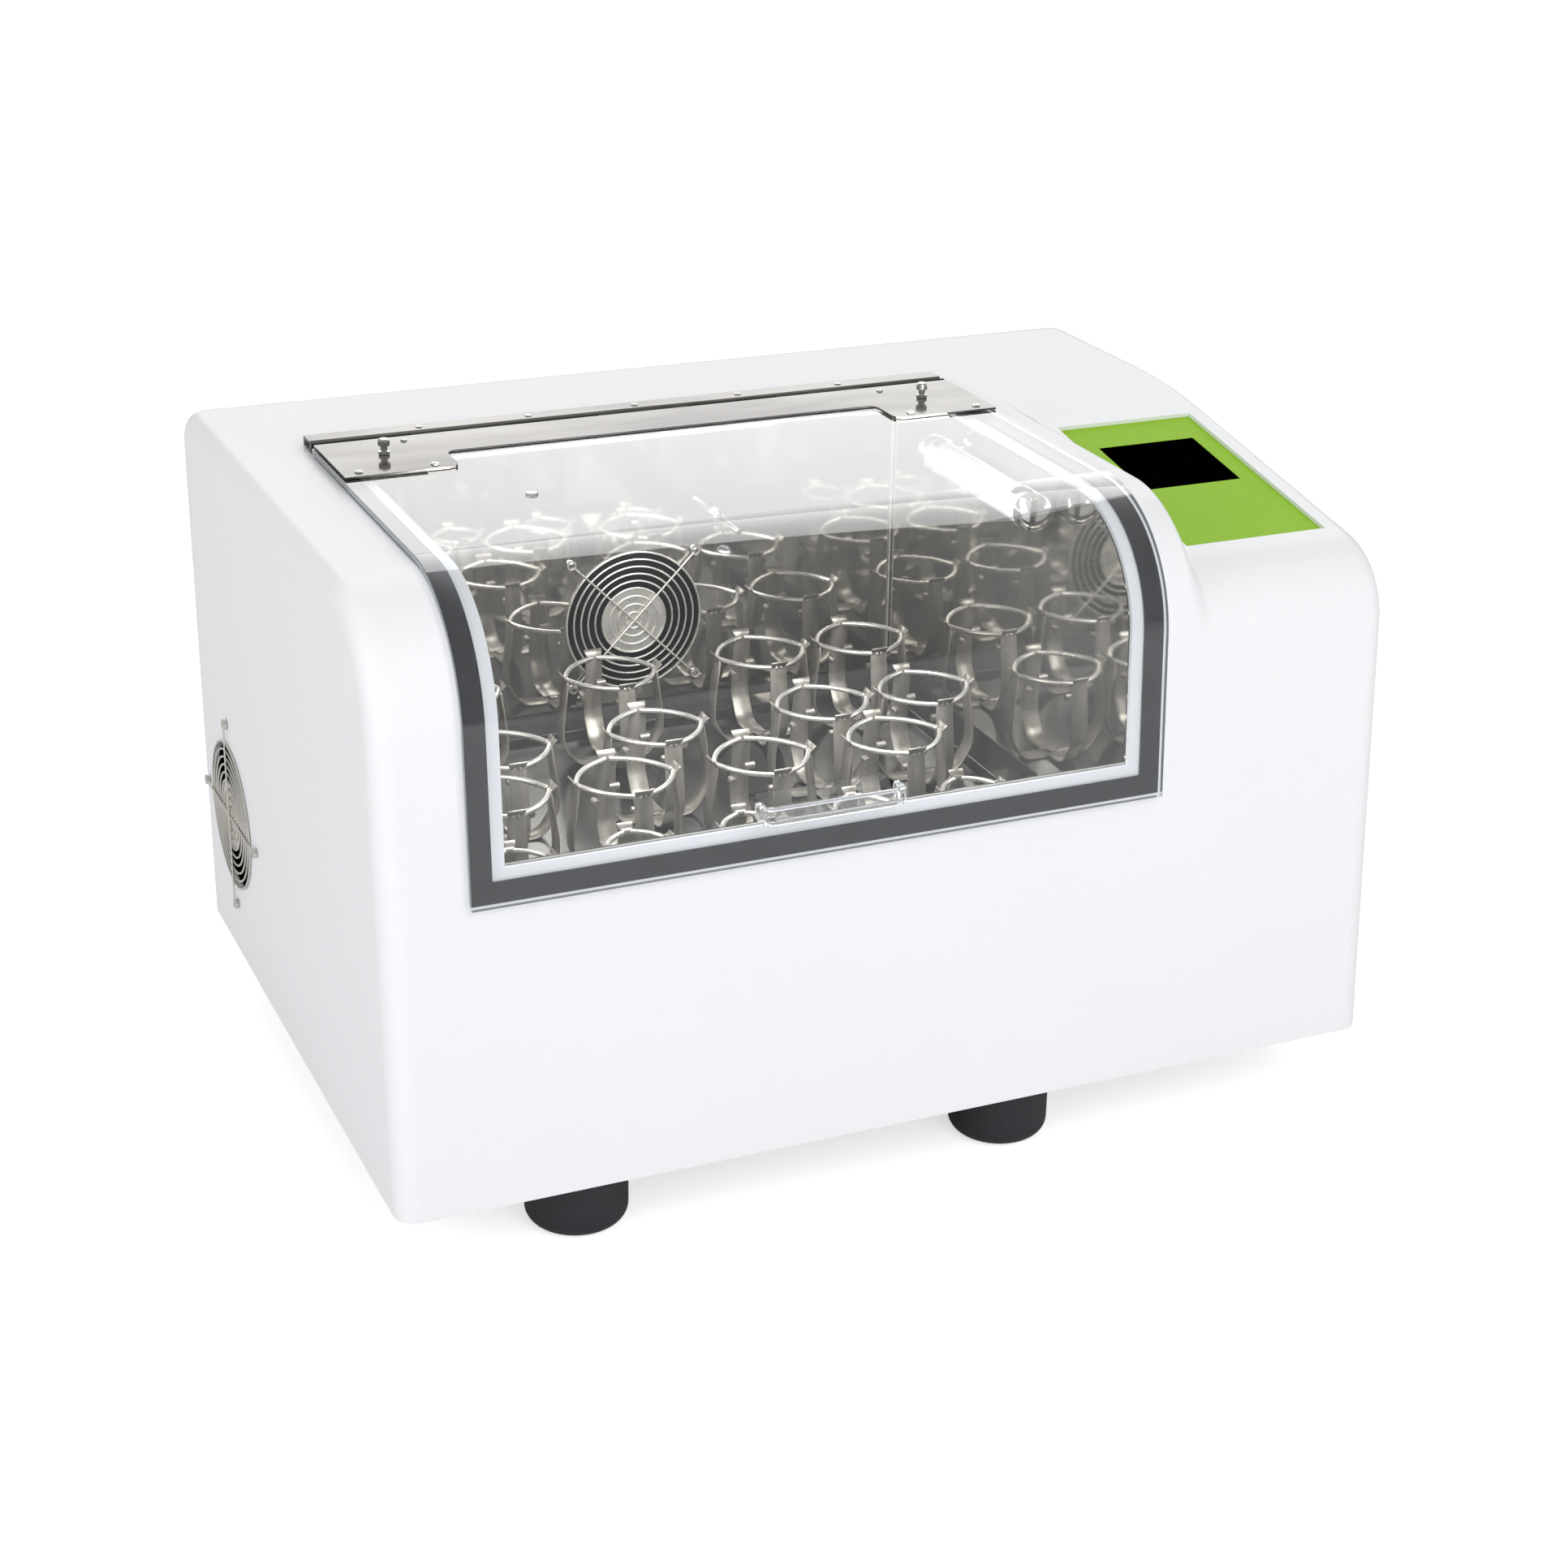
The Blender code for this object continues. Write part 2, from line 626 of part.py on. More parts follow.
def make_base():
    """The pan closes the cabinet's bottom, with a flange up inside its walls."""
    low = (-CASE_W / 2 + CASE_WALL + FIT, -CASE_D / 2 + CASE_WALL + 3 * FIT + FRONT_LEAN * PAN_FLANGE, FIT)
    high = (CASE_W / 2 - CASE_WALL - FIT, CASE_D / 2 - CASE_WALL - FIT, FIT + PAN_FLANGE)
    bm = bmesh.new()
    bmesh.ops.create_cube(bm, size=1.0)
    bmesh.ops.scale(bm, vec=[h - l for l, h in zip(low, high)], verts=bm.verts)
    bmesh.ops.translate(bm, vec=[(h + l) / 2 for l, h in zip(low, high)], verts=bm.verts)
    top = [face for face in bm.faces if face.normal.z > 0.5]
    bmesh.ops.delete(bm, geom=top, context="FACES_ONLY")
    uprights = [edge for edge in bm.edges if abs(edge.verts[0].co.z - edge.verts[1].co.z) > PAN_FLANGE / 2]
    bmesh.ops.bevel(bm, geom=uprights, offset=SIDE_R, segments=2, affect="EDGES", profile=0.5)
    pan = place(mesh_of(bm, "base_pan"), "base_pan", ZINC)
    solidify(pan, PAN_T)
    for side_x, side_y, name in ((-1, -1, "front_left"), (1, -1, "front_right"),
                                 (-1, 1, "rear_left"), (1, 1, "rear_right")):
        foot_in = FOOT_IN_LEFT if side_x < 0 else FOOT_IN_RIGHT
        at = (side_x * (CASE_W / 2 - foot_in), side_y * FEET_SPREAD_Y, 0)
        foot_edge = arc((FOOT_R - FOOT_EDGE_R, -FOOT_H + FOOT_EDGE_R), FOOT_EDGE_R, 0, -math.pi / 2, 3)
        turned("foot_" + name, [(0, 0), (FOOT_R, 0)] + foot_edge + [(0, -FOOT_H)], 18, RUBBER, at=at)


def make_liner():
    z_low = FLOOR_Z
    outer = bay_path(-CASE_WALL - FIT, z_low, CHAMBER_BACK_Y) + [(CHAMBER_BACK_Y, z_low)]
    inner = bay_path(-CASE_WALL - FIT - LINER_T, FLOOR_TOP, CHAMBER_BACK_Y - LINER_T)
    inner += [(CHAMBER_BACK_Y - LINER_T, FLOOR_TOP)]
    middle = ((CHAMBER_X0 + CHAMBER_X1) / 2, 0, 0)
    width = CHAMBER_X1 - CHAMBER_X0
    liner = place(outline_mesh("chamber_liner", outer, width, YZ, middle), "chamber_liner", STEEL)
    hollow = outline_mesh("hollow_cutter", inner, width - 2 * LINER_T, YZ, middle)
    boolean(liner, place(hollow, "hollow_cutter", None, cutter=True))
    boolean(liner, bpy.data.objects["opening_cutter"])
    turn = Matrix.Rotation(math.pi / 2, 4, "X")
    hole = cylinder_mesh("air_fan_cutter", FAN_BORE_R, 20 * MM, 28, turn=turn)
    at = (AIR_FAN_X, CHAMBER_BACK_Y, AIR_FAN_Z)
    boolean(liner, place(hole, "air_fan_cutter", None, at=at, cutter=True))
    shaft_hole = cylinder_mesh("shaft_cutter", SHAFT_R + 3 * MM, 20 * MM, 16)
    boolean(liner, place(shaft_hole, "shaft_cutter", None, at=(DRIVE_X, DRIVE_Y, FLOOR_Z), cutter=True))


def bay_sheet(name, x0, x1, inner, outer, z_low, y_rear, finish, parent=None, back=(0, 0, 0)):
    """A sheet that follows the lid bay's outline between two x values."""
    middle = Vector(((x0 + x1) / 2, 0, 0)) - Vector(back)
    mesh = outline_mesh(name, bay_band(inner, outer, z_low, y_rear), x1 - x0, YZ, middle)
    return place(mesh, name, finish, parent)


def make_gasket():
    low, rear = LID_BOTTOM_Z + GASKET_INSET, LID_REAR_Y - GASKET_INSET
    gasket = bay_sheet("lid_gasket", LID_X0 + GASKET_INSET, LID_X1 - GASKET_INSET,
                       FIT, FIT + GASKET_T, low, rear, RUBBER)
    inset = GASKET_INSET + GASKET_W
    outline = bay_band(-5 * MM, 12 * MM, low + GASKET_W, rear - GASKET_W)
    width = LID_X1 - LID_X0 - 2 * inset
    mesh = outline_mesh("gasket_cutter", outline, width, YZ, ((LID_X0 + LID_X1) / 2, 0, 0))
    boolean(gasket, place(mesh, "gasket_cutter", None, cutter=True))


def knuckle_mesh(name, spans):
    """Hinge knuckles along x, as rings round the hinge's axis."""
    bm = bmesh.new()
    for x0, x1 in spans:
        inner = PIN_R + FIT
        spin_ring(bm, [(x0, 0, BARREL_R), (x1, 0, BARREL_R), (x1, 0, inner), (x0, 0, inner)], (1, 0, 0), 12)
    bmesh.ops.recalc_face_normals(bm, faces=bm.faces)
    return mesh_of(bm, name)


def knuckle_spans(odd):
    x0, x1 = LID_X0 + LEAF_MARGIN, LID_X1 - LEAF_MARGIN
    pitch = (x1 - x0) / KNUCKLES
    half = KNUCKLE_GAP / 2
    return [(x0 + k * pitch + half, x0 + (k + 1) * pitch - half) for k in range(KNUCKLES) if k % 2 == odd]


def leaf_outline():
    """The lid's hinge leaf, with a deep tab at each end and a narrow strip between."""
    x0, x1 = LID_X0 + LEAF_MARGIN, LID_X1 - LEAF_MARGIN
    inner0, inner1 = x0 + TAB_WIDTH, x1 - TAB_WIDTH
    r = TAB_R
    points = [(x0, 0), (x0, -TAB_DEPTH)]
    points += arc((inner0 - r, -TAB_DEPTH + r), r, -math.pi / 2, 0, 3)
    points += arc((inner0 + r, -STRIP_DEPTH - r), r, math.pi, math.pi / 2, 3)
    points += arc((inner1 - r, -STRIP_DEPTH - r), r, math.pi / 2, 0, 3)
    points += arc((inner1 + r, -TAB_DEPTH + r), r, math.pi, 3 * math.pi / 2, 3)
    return points + [(x1, -TAB_DEPTH), (x1, 0)]


def relief_cutter(name, spans, at, parent=None):
    """Room in one leaf for the other leaf's knuckles."""
    bm = bmesh.new()
    for x0, x1 in spans:
        made = bmesh.ops.create_cube(bm, size=1.0)["verts"]
        depth = 2 * (BARREL_R + RUN)
        bmesh.ops.scale(bm, vec=(x1 - x0 + 2 * KNUCKLE_GAP, depth, depth), verts=made)
        bmesh.ops.translate(bm, vec=((x0 + x1) / 2, 0, 0), verts=made)
    return place(mesh_of(bm, name), name, None, parent, at, cutter=True)


def make_hinge(lid):
    x0, x1 = LID_X0 + LEAF_MARGIN, LID_X1 - LEAF_MARGIN
    axis = (0, HINGE_Y, HINGE_Z)
    odd, even = knuckle_spans(1), knuckle_spans(0)
    leaf_z = CASE_H + FIT - HINGE_Z
    low = (x0, 0, leaf_z)
    high = (x1, BARREL_R + FIXED_LEAF_DEPTH, leaf_z + LEAF_T)
    fixed = place(box_between("hinge_fixed_leaf", low, high), "hinge_fixed_leaf", POLISHED, at=axis)
    boolean(fixed, relief_cutter("fixed_relief", odd, axis))
    barrel = place(knuckle_mesh("fixed_knuckles", even), "fixed_knuckles", None, at=axis, cutter=True)
    boolean(fixed, barrel, "UNION")
    pin = cylinder_mesh("hinge_pin", PIN_R, x1 - x0, 12, turn=Matrix.Rotation(math.pi / 2, 4, "Y"))
    place(pin, "hinge_pin", POLISHED, at=((x0 + x1) / 2, HINGE_Y, HINGE_Z))
    top = CASE_H + LID_TOP + FIT - HINGE_Z + LEAF_T / 2
    leaf_mesh = outline_mesh("hinge_lid_leaf", leaf_outline(), LEAF_T, XY, (0, 0, top))
    leaf = place(leaf_mesh, "hinge_lid_leaf", POLISHED, lid)
    boolean(leaf, relief_cutter("leaf_relief", even, (0, 0, 0), lid))
    boolean(leaf, place(knuckle_mesh("leaf_knuckles", odd), "leaf_knuckles", None, lid, cutter=True), "UNION")
    stud_z = top + LEAF_T / 2 + FIT
    neck = STUD_R * 0.55
    profile = [(0, STUD_H), (STUD_R - 1 * MM, STUD_H), (STUD_R, STUD_H - 1 * MM), (STUD_R, STUD_H * 0.55),
               (neck, STUD_H * 0.5), (neck, STUD_H * 0.25), (STUD_R, STUD_H * 0.2), (STUD_R, 0), (0, 0)]
    for name, x in (("left", x0 + STUD_INSET), ("right", x1 - STUD_INSET)):
        turned("thumb_nut_" + name, profile, 10, POLISHED, lid, (x, -STUD_DEPTH, stud_z))


def make_lid():
    """The lid turns about the hinge pin, so its pieces hang on an empty on that axis."""
    lid = add_empty("lid_axis", (0, HINGE_Y, HINGE_Z), CABINET)
    bay_sheet("lid_window", LID_X0, LID_X1, LID_LIFT, LID_TOP, LID_BOTTOM_Z, LID_REAR_Y, CLEAR, lid,
              (0, HINGE_Y, HINGE_Z))
    outer = rounded_box_outline(-HANDLE_L / 2, -HANDLE_REACH, HANDLE_L / 2, HANDLE_R * 2, HANDLE_R)
    front = [point for point in outer if point[1] < 0]
    inner_r = HANDLE_R - HANDLE_T
    reach = HANDLE_REACH - HANDLE_T
    inner_end = HANDLE_L / 2 - HANDLE_T
    inner = rounded_box_outline(-inner_end, -reach, inner_end, HANDLE_R * 2, inner_r)
    back = [point for point in inner if point[1] < 0]
    outline = [(-HANDLE_L / 2, 0)] + front + [(HANDLE_L / 2, 0), (inner_end, 0)]
    outline += back[::-1] + [(-inner_end, 0)]
    mesh = outline_mesh("lid_handle", outline, HANDLE_H, XY, (0, 0, 0))
    at = (HANDLE_X, front_y(HANDLE_Z, LID_TOP + FIT) - HINGE_Y, HANDLE_Z - HINGE_Z)
    place(mesh, "lid_handle", CLEAR, lid, at, Matrix.Rotation(-math.atan(FRONT_LEAN), 4, "X"))
    return lid


def make_panel():
    """The overlay lies behind the wing's window, and the screen fills its cut-out."""
    sunk = CASE_WALL + FIT
    lap = PANEL_LAP
    low = (PANEL_X0 - lap, -PANEL_L - lap, -PANEL_T)
    plate = place(box_between("control_panel", low, (PANEL_X1 + lap, lap, 0)), "control_panel", GREEN,
                  turn=wing_frame(sunk))
    x0 = PANEL_X0 + SCREEN_OFF_X
    low = (x0, -SCREEN_DROP - SCREEN_L, -SCREEN_T)
    high = (x0 + SCREEN_W, -SCREEN_DROP, 0)
    cut = box_between("screen_cutter", [v - FIT for v in low], [v + FIT for v in high])
    boolean(plate, place(cut, "screen_cutter", None, turn=wing_frame(sunk), cutter=True))
    screen = place(box_between("touch_screen", low, high), "touch_screen", SCREEN, turn=wing_frame(sunk))
    edge = BOARD_MARGIN
    board = box_between("screen_board", (low[0] - edge, low[1] - edge, -SCREEN_T - BOARD_T),
                        (high[0] + edge, high[1] + edge, -PANEL_T - FIT))
    boolean(screen, place(board, "screen_board", None, turn=wing_frame(sunk), cutter=True), "UNION")


def fan_frame(name, at, turn):
    """A square frame with a round bore, and a spider of four arms that carries the motor."""
    half = FAN_SIZE / 2
    outline = rounded_box_outline(-half, -half, half, half, FAN_CORNER, 2)
    mesh = outline_mesh(name, outline, FAN_DEPTH, XY, (0, 0, FAN_DEPTH / 2))
    frame = place(mesh, name, BLACK, at=at, turn=turn)
    bore = cylinder_mesh(name + "_bore", FAN_BORE_R, FAN_DEPTH * 2, 24, (0, 0, FAN_DEPTH / 2))
    boolean(frame, place(bore, name + "_bore", None, at=at, turn=turn, cutter=True))
    middle = FAN_DEPTH - SPIDER_T / 2
    hub = cylinder_mesh(name + "_spider", FAN_HUB_R, SPIDER_T, 16, (0, 0, middle))
    spider = place(hub, name + "_spider", None, at=at, turn=turn, cutter=True)
    boolean(frame, spider, "UNION")
    for quarter in range(2):
        arm = box_mesh(name + "_arm", (2 * FAN_BORE_R + 2 * MM, 5 * MM, SPIDER_T * 0.8))
        spin = turn @ Matrix.Rotation(math.radians(20 + 90 * quarter), 4, "Z")
        spin = spin @ Matrix.Translation((0, 0, middle))
        tool = place(arm, "%s_arm_%d" % (name, quarter + 1), None, at=at, turn=spin, cutter=True)
        boolean(frame, tool, "UNION")


def fan_rotor(name, at, turn):
    """A hub with pitched blades, spinning about the fan's own axis."""
    start = 1.5 * MM
    depth = FAN_DEPTH - SPIDER_T - FIT - start
    hub = cylinder_mesh(name, FAN_HUB_R, depth, 20, (0, 0, depth / 2 + start))
    rotor = place(hub, name, BLACK, at=at, turn=turn)
    reach = FAN_BORE_R - BLADE_TIP_GAP - FAN_HUB_R + 2 * MM
    chord = (depth - 4 * MM) / math.sin(BLADE_PITCH) * 0.8
    bm = bmesh.new()
    for blade in range(FAN_BLADES):
        made = bmesh.ops.create_cube(bm, size=1.0)["verts"]
        bmesh.ops.scale(bm, vec=(reach, chord, BLADE_T), verts=made)
        root = Matrix.Translation((FAN_HUB_R - 2 * MM + reach / 2, 0, depth / 2 + start))
        spin = Matrix.Rotation(2 * math.pi * blade / FAN_BLADES, 4, "Z")
        pitch = Matrix.Rotation(BLADE_PITCH, 4, "X")
        bmesh.ops.transform(bm, matrix=spin @ root @ pitch, verts=made)
    tool = place(mesh_of(bm, name + "_blades"), name + "_blades", None, at=at, turn=turn, cutter=True)
    boolean(rotor, tool, "UNION")
    rim = cylinder_mesh(name + "_rim", FAN_BORE_R - BLADE_TIP_GAP, FAN_DEPTH * 2, 24)
    boolean(rotor, place(rim, name + "_rim", None, at=at, turn=turn, cutter=True), "INTERSECT")


def fan_guard(name, at, turn):
    """Wire rings on a hub plate and four arms, each ending in a screw eye at a fan corner."""
    height = 2.6 * GUARD_WIRE_R
    bm = bmesh.new()
    for ring in range(GUARD_RINGS):
        radius = GUARD_HUB_R + (GUARD_R - GUARD_HUB_R) * (ring + 1) / GUARD_RINGS
        spin_ring(bm, wire_section(radius, height, GUARD_WIRE_R), (0, 0, 1), 16)
    bmesh.ops.recalc_face_normals(bm, faces=bm.faces)
    rings = place(mesh_of(bm, name), name, POLISHED, at=at, turn=turn)
    hub = cylinder_mesh(name + "_hub", GUARD_HUB_R, height, 16, (0, 0, height / 2))
    hub = place(hub, name + "_hub", None, at=at, turn=turn, cutter=True)
    eye = FAN_PITCH / math.sqrt(2)
    for number in range(2):
        bar = box_mesh(name + "_bar", (2 * eye, 3 * GUARD_WIRE_R, 2 * GUARD_WIRE_R), (0, 0, GUARD_WIRE_R))
        spin = turn @ Matrix.Rotation(math.pi / 4 + number * math.pi / 2, 4, "Z")
        tool = place(bar, "%s_bar_%d" % (name, number + 1), None, at=at, turn=spin, cutter=True)
        boolean(hub, tool, "UNION")
        for end in (-1, 1):
            disc = cylinder_mesh(name + "_eye", GUARD_EYE_R, 1.6 * GUARD_WIRE_R, 10,
                                 (end * eye, 0, 0.8 * GUARD_WIRE_R))
            tool = place(disc, "%s_eye_%d_%d" % (name, number + 1, end), None, at=at, turn=spin, cutter=True)
            boolean(hub, tool, "UNION")
    boolean(rings, hub, "UNION")


def make_fans():
    """The vent fan stands on one corner in the left wall, the air fan behind the chamber."""
    out = Matrix.Rotation(-math.pi / 2, 4, "Y") @ Matrix.Rotation(math.pi / 4, 4, "Z")
    into = Matrix.Rotation(math.pi / 2, 4, "Y") @ Matrix.Rotation(math.pi / 4, 4, "Z")
    wall = (-CASE_W / 2 + CASE_WALL + FIT, VENT_FAN_Y, VENT_FAN_Z)
    fan_frame("vent_fan_frame", wall, into)
    fan_rotor("vent_fan_rotor", wall, into)
    fan_guard("vent_fan_guard", (-CASE_W / 2 - FIT, VENT_FAN_Y, VENT_FAN_Z), out)
    front = Matrix.Rotation(math.pi / 2, 4, "X")
    back = Matrix.Rotation(-math.pi / 2, 4, "X")
    behind = (AIR_FAN_X, CHAMBER_BACK_Y + FIT, AIR_FAN_Z)
    fan_frame("air_fan_frame", behind, back)
    fan_rotor("air_fan_rotor", behind, back)
    fan_guard("air_fan_guard", (AIR_FAN_X, CHAMBER_BACK_Y - LINER_T - FIT, AIR_FAN_Z), front)
    y = CHAMBER_BACK_Y + FIT + FAN_DEPTH + FIT + HEATER_R
    half = HEATER_W / 2
    top = AIR_FAN_Z + HEATER_H / 2 - half
    bend = arc((0, top), half, 0, math.pi, 6)
    legs = [(half, AIR_FAN_Z - HEATER_H / 2)] + bend + [(-half, AIR_FAN_Z - HEATER_H / 2)]
    tube("heater_element", [(AIR_FAN_X + x, y, z) for x, z in legs], HEATER_R, ZINC)


def make_lamp():
    """A lamp with a cap at each end, along the right wall, held by two spring clips."""
    length = LAMP_Y1 - LAMP_Y0
    cap_r, chamfer = LAMP_R + 1 * MM, 2 * MM
    profile = [(0, length), (cap_r - chamfer, length), (cap_r, length - chamfer), (cap_r, length - LAMP_CAP_L),
               (LAMP_R, length - LAMP_CAP_L), (LAMP_R, LAMP_CAP_L), (cap_r, LAMP_CAP_L), (cap_r, chamfer),
               (cap_r - chamfer, 0), (0, 0)]
    along = Matrix.Rotation(-math.pi / 2, 4, "X")
    turned("lamp_tube", profile, 16, LAMP, at=(LAMP_X, LAMP_Y0, LAMP_Z), turn=along)
    inner, outer = LAMP_R + FIT, LAMP_R + FIT + CLIP_T
    wall_x = CHAMBER_X1 - LINER_T - FIT - LAMP_X
    foot = math.asin(CLIP_FOOT / outer)
    wrap = math.radians(130)
    outline = arc((0, 0), outer, -wrap, -foot, 6) + [(wall_x, -CLIP_FOOT), (wall_x, CLIP_FOOT)]
    outline += arc((0, 0), outer, foot, wrap, 6) + arc((0, 0), inner, wrap, -wrap, 12)
    for name, y in (("front", LAMP_Y0 + LAMP_CAP_L + CLIP_W), ("rear", LAMP_Y1 - LAMP_CAP_L - CLIP_W)):
        mesh = outline_mesh("lamp_clip_" + name, outline, CLIP_W, XZ, (LAMP_X, y, LAMP_Z))
        place(mesh, "lamp_clip_" + name, POLISHED)
    back = CHAMBER_BACK_Y - LINER_T - FIT
    bush = 6 * MM
    profile = [(0, PROBE_L), (PROBE_R, PROBE_L), (PROBE_R, 4 * MM), (bush, 4 * MM), (bush, 0), (0, 0)]
    turned("temperature_probe", profile, 10, POLISHED, at=(PROBE_X, back, PROBE_Z),
           turn=Matrix.Rotation(math.pi / 2, 4, "X"))


def idler_places():
    return ("left", DRIVE_X - IDLER_SPREAD_X, IDLER_Y), ("right", DRIVE_X + IDLER_SPREAD_X, IDLER_Y)


def crank_web(name, shaft_r, margin):
    """The web that joins a shaft to its eccentric pin, as a long round outline."""
    around = shaft_r + margin
    outline = arc((0, 0), around, math.pi / 2, 3 * math.pi / 2, 6)
    outline += arc((ORBIT_R, 0), around, -math.pi / 2, math.pi / 2, 6)
    return outline_mesh(name, outline, WEB_T, XY, (0, 0, HOUSING_TOP + FIT + WEB_T / 2))


def make_crank(name, x, y, shaft_r, pin_r, foot_z, margin):
    """A shaft, its web and its eccentric pin in one solid, about the shaft's axis."""
    crank = place(crank_web(name, shaft_r, margin), name, ZINC, at=(x, y, 0))
    top = HOUSING_TOP + FIT + WEB_T / 2
    shaft = cylinder_mesh(name + "_shaft", shaft_r, top - foot_z, 16, (0, 0, (top + foot_z) / 2))
    boolean(crank, place(shaft, name + "_shaft", None, at=(x, y, 0), cutter=True), "UNION")
    pin = cylinder_mesh(name + "_pin", pin_r, PIN_TOP - top, 16, (ORBIT_R, 0, (PIN_TOP + top) / 2))
    boolean(crank, place(pin, name + "_pin", None, at=(x, y, 0), cutter=True), "UNION")
    return crank


def housing(name, x, y, flange_r, neck_r, bore_r):
    base = FLOOR_TOP + FIT
    top = base + HOUSING_H
    step = base + HOUSING_FLANGE_T
    profile = [(neck_r, top), (neck_r, step), (flange_r, step), (flange_r, base), (bore_r, base), (bore_r, top)]
    return turned(name, profile, 18, CAST, at=(x, y, 0), closed=True)


def make_drive():
    shaft = make_crank("drive_shaft", DRIVE_X, DRIVE_Y, SHAFT_R, CRANK_PIN_R, SHAFT_FOOT_Z, 6 * MM)
    housing("drive_bearing_housing", DRIVE_X, DRIVE_Y, HOUSING_R, HOUSING_NECK_R, SHAFT_R + RUN)
    for name, x, y in idler_places():
        foot = FLOOR_TOP + 2 * FIT
        make_crank("idler_crank_" + name, x, y, IDLER_SHAFT_R, IDLER_PIN_R, foot, 4 * MM)
        housing("idler_housing_" + name, x, y, IDLER_BLOCK_R, IDLER_SHAFT_R + 8 * MM, IDLER_SHAFT_R + RUN)
    boolean(shaft, counterweight(), "UNION")
    make_pulleys()


def counterweight():
    """A sector of a disc that grows from the web on the far side of the eccentric pin."""
    low, high = math.radians(115), math.radians(245)
    outline = arc((0, 0), COUNTER_R, low, high, 10) + arc((0, 0), SHAFT_R, high, low, 4)
    mesh = outline_mesh("counterweight", outline, WEB_T - 2 * FIT, XY, (0, 0, HOUSING_TOP + FIT + WEB_T / 2))
    return place(mesh, "counterweight", None, at=(DRIVE_X, DRIVE_Y, 0), cutter=True)


def pulley_rim(radius):
    """A flat-belt pulley's outer side, with a raised rim above and below its belt."""
    rim = 2 * MM
    low, high = PULLEY_Z, PULLEY_Z + PULLEY_T
    step = (PULLEY_T - BELT_W) / 2 - FIT
    return [(radius + rim, high), (radius + rim, high - step), (radius, high - step), (radius, low + step),
            (radius + rim, low + step), (radius + rim, low)]


def make_pulleys():
    bore = SHAFT_R + FIT
    profile = pulley_rim(PULLEY_R) + [(bore, PULLEY_Z), (bore, PULLEY_Z + PULLEY_T)]
    turned("drive_pulley", profile, 22, CAST, at=(DRIVE_X, DRIVE_Y, 0), closed=True)
    shaft_top = MOTOR_BODY_Z - FIT
    profile = [(0, shaft_top), (MOTOR_SHAFT_R, shaft_top), (MOTOR_SHAFT_R, PULLEY_Z + PULLEY_T)]
    profile += pulley_rim(MOTOR_PULLEY_R)
    profile += [(MOTOR_SHAFT_R, PULLEY_Z), (MOTOR_SHAFT_R, SHAFT_FOOT_Z), (0, SHAFT_FOOT_Z)]
    turned("motor_pulley", profile, 16, CAST, at=(MOTOR_X, DRIVE_Y, 0))
    top = FLOOR_Z - FIT
    pad = 5 * MM
    profile = [(0, top), (MOTOR_R + pad, top), (MOTOR_R + pad, top - pad), (MOTOR_R, top - pad),
               (MOTOR_R, MOTOR_BODY_Z + 3 * MM), (MOTOR_R - 3 * MM, MOTOR_BODY_Z), (0, MOTOR_BODY_Z)]
    turned("drive_motor", profile, 20, BLACK, at=(MOTOR_X, DRIVE_Y, 0))
    make_belt()


def belt_outline(gap):
    """The two round ends and straight runs of an open belt, set out from its pulleys."""
    span = MOTOR_X - DRIVE_X
    lean = math.asin((PULLEY_R - MOTOR_PULLEY_R) / span)
    start = math.pi / 2 - lean
    big = arc((DRIVE_X, DRIVE_Y), PULLEY_R + gap, start, 2 * math.pi - start, 20)
    small = arc((MOTOR_X, DRIVE_Y), MOTOR_PULLEY_R + gap, -start, start, 10)
    return big + small


def make_belt():
    z = PULLEY_Z + PULLEY_T / 2
    mesh = outline_mesh("drive_belt", belt_outline(FIT + BELT_T), BELT_W, XY, (0, 0, z))
    belt = place(mesh, "drive_belt", RUBBER)
    hollow = outline_mesh("belt_cutter", belt_outline(FIT), BELT_W * 2, XY, (0, 0, z))
    boolean(belt, place(hollow, "belt_cutter", None, cutter=True))


def open_box(name, low, high, corner_r, up):
    """A shallow box without its upper or lower face, to be given a wall."""
    bm = bmesh.new()
    bmesh.ops.create_cube(bm, size=1.0)
    bmesh.ops.scale(bm, vec=[h - l for l, h in zip(low, high)], verts=bm.verts)
    bmesh.ops.translate(bm, vec=[(h + l) / 2 for l, h in zip(low, high)], verts=bm.verts)
    away = [face for face in bm.faces if face.normal.z * up > 0.5]
    bmesh.ops.delete(bm, geom=away, context="FACES_ONLY")
    tall = (high[2] - low[2]) / 2
    uprights = [edge for edge in bm.edges if abs(edge.verts[0].co.z - edge.verts[1].co.z) > tall]
    bmesh.ops.bevel(bm, geom=uprights, offset=corner_r, segments=3, affect="EDGES", profile=0.5)
    return mesh_of(bm, name)


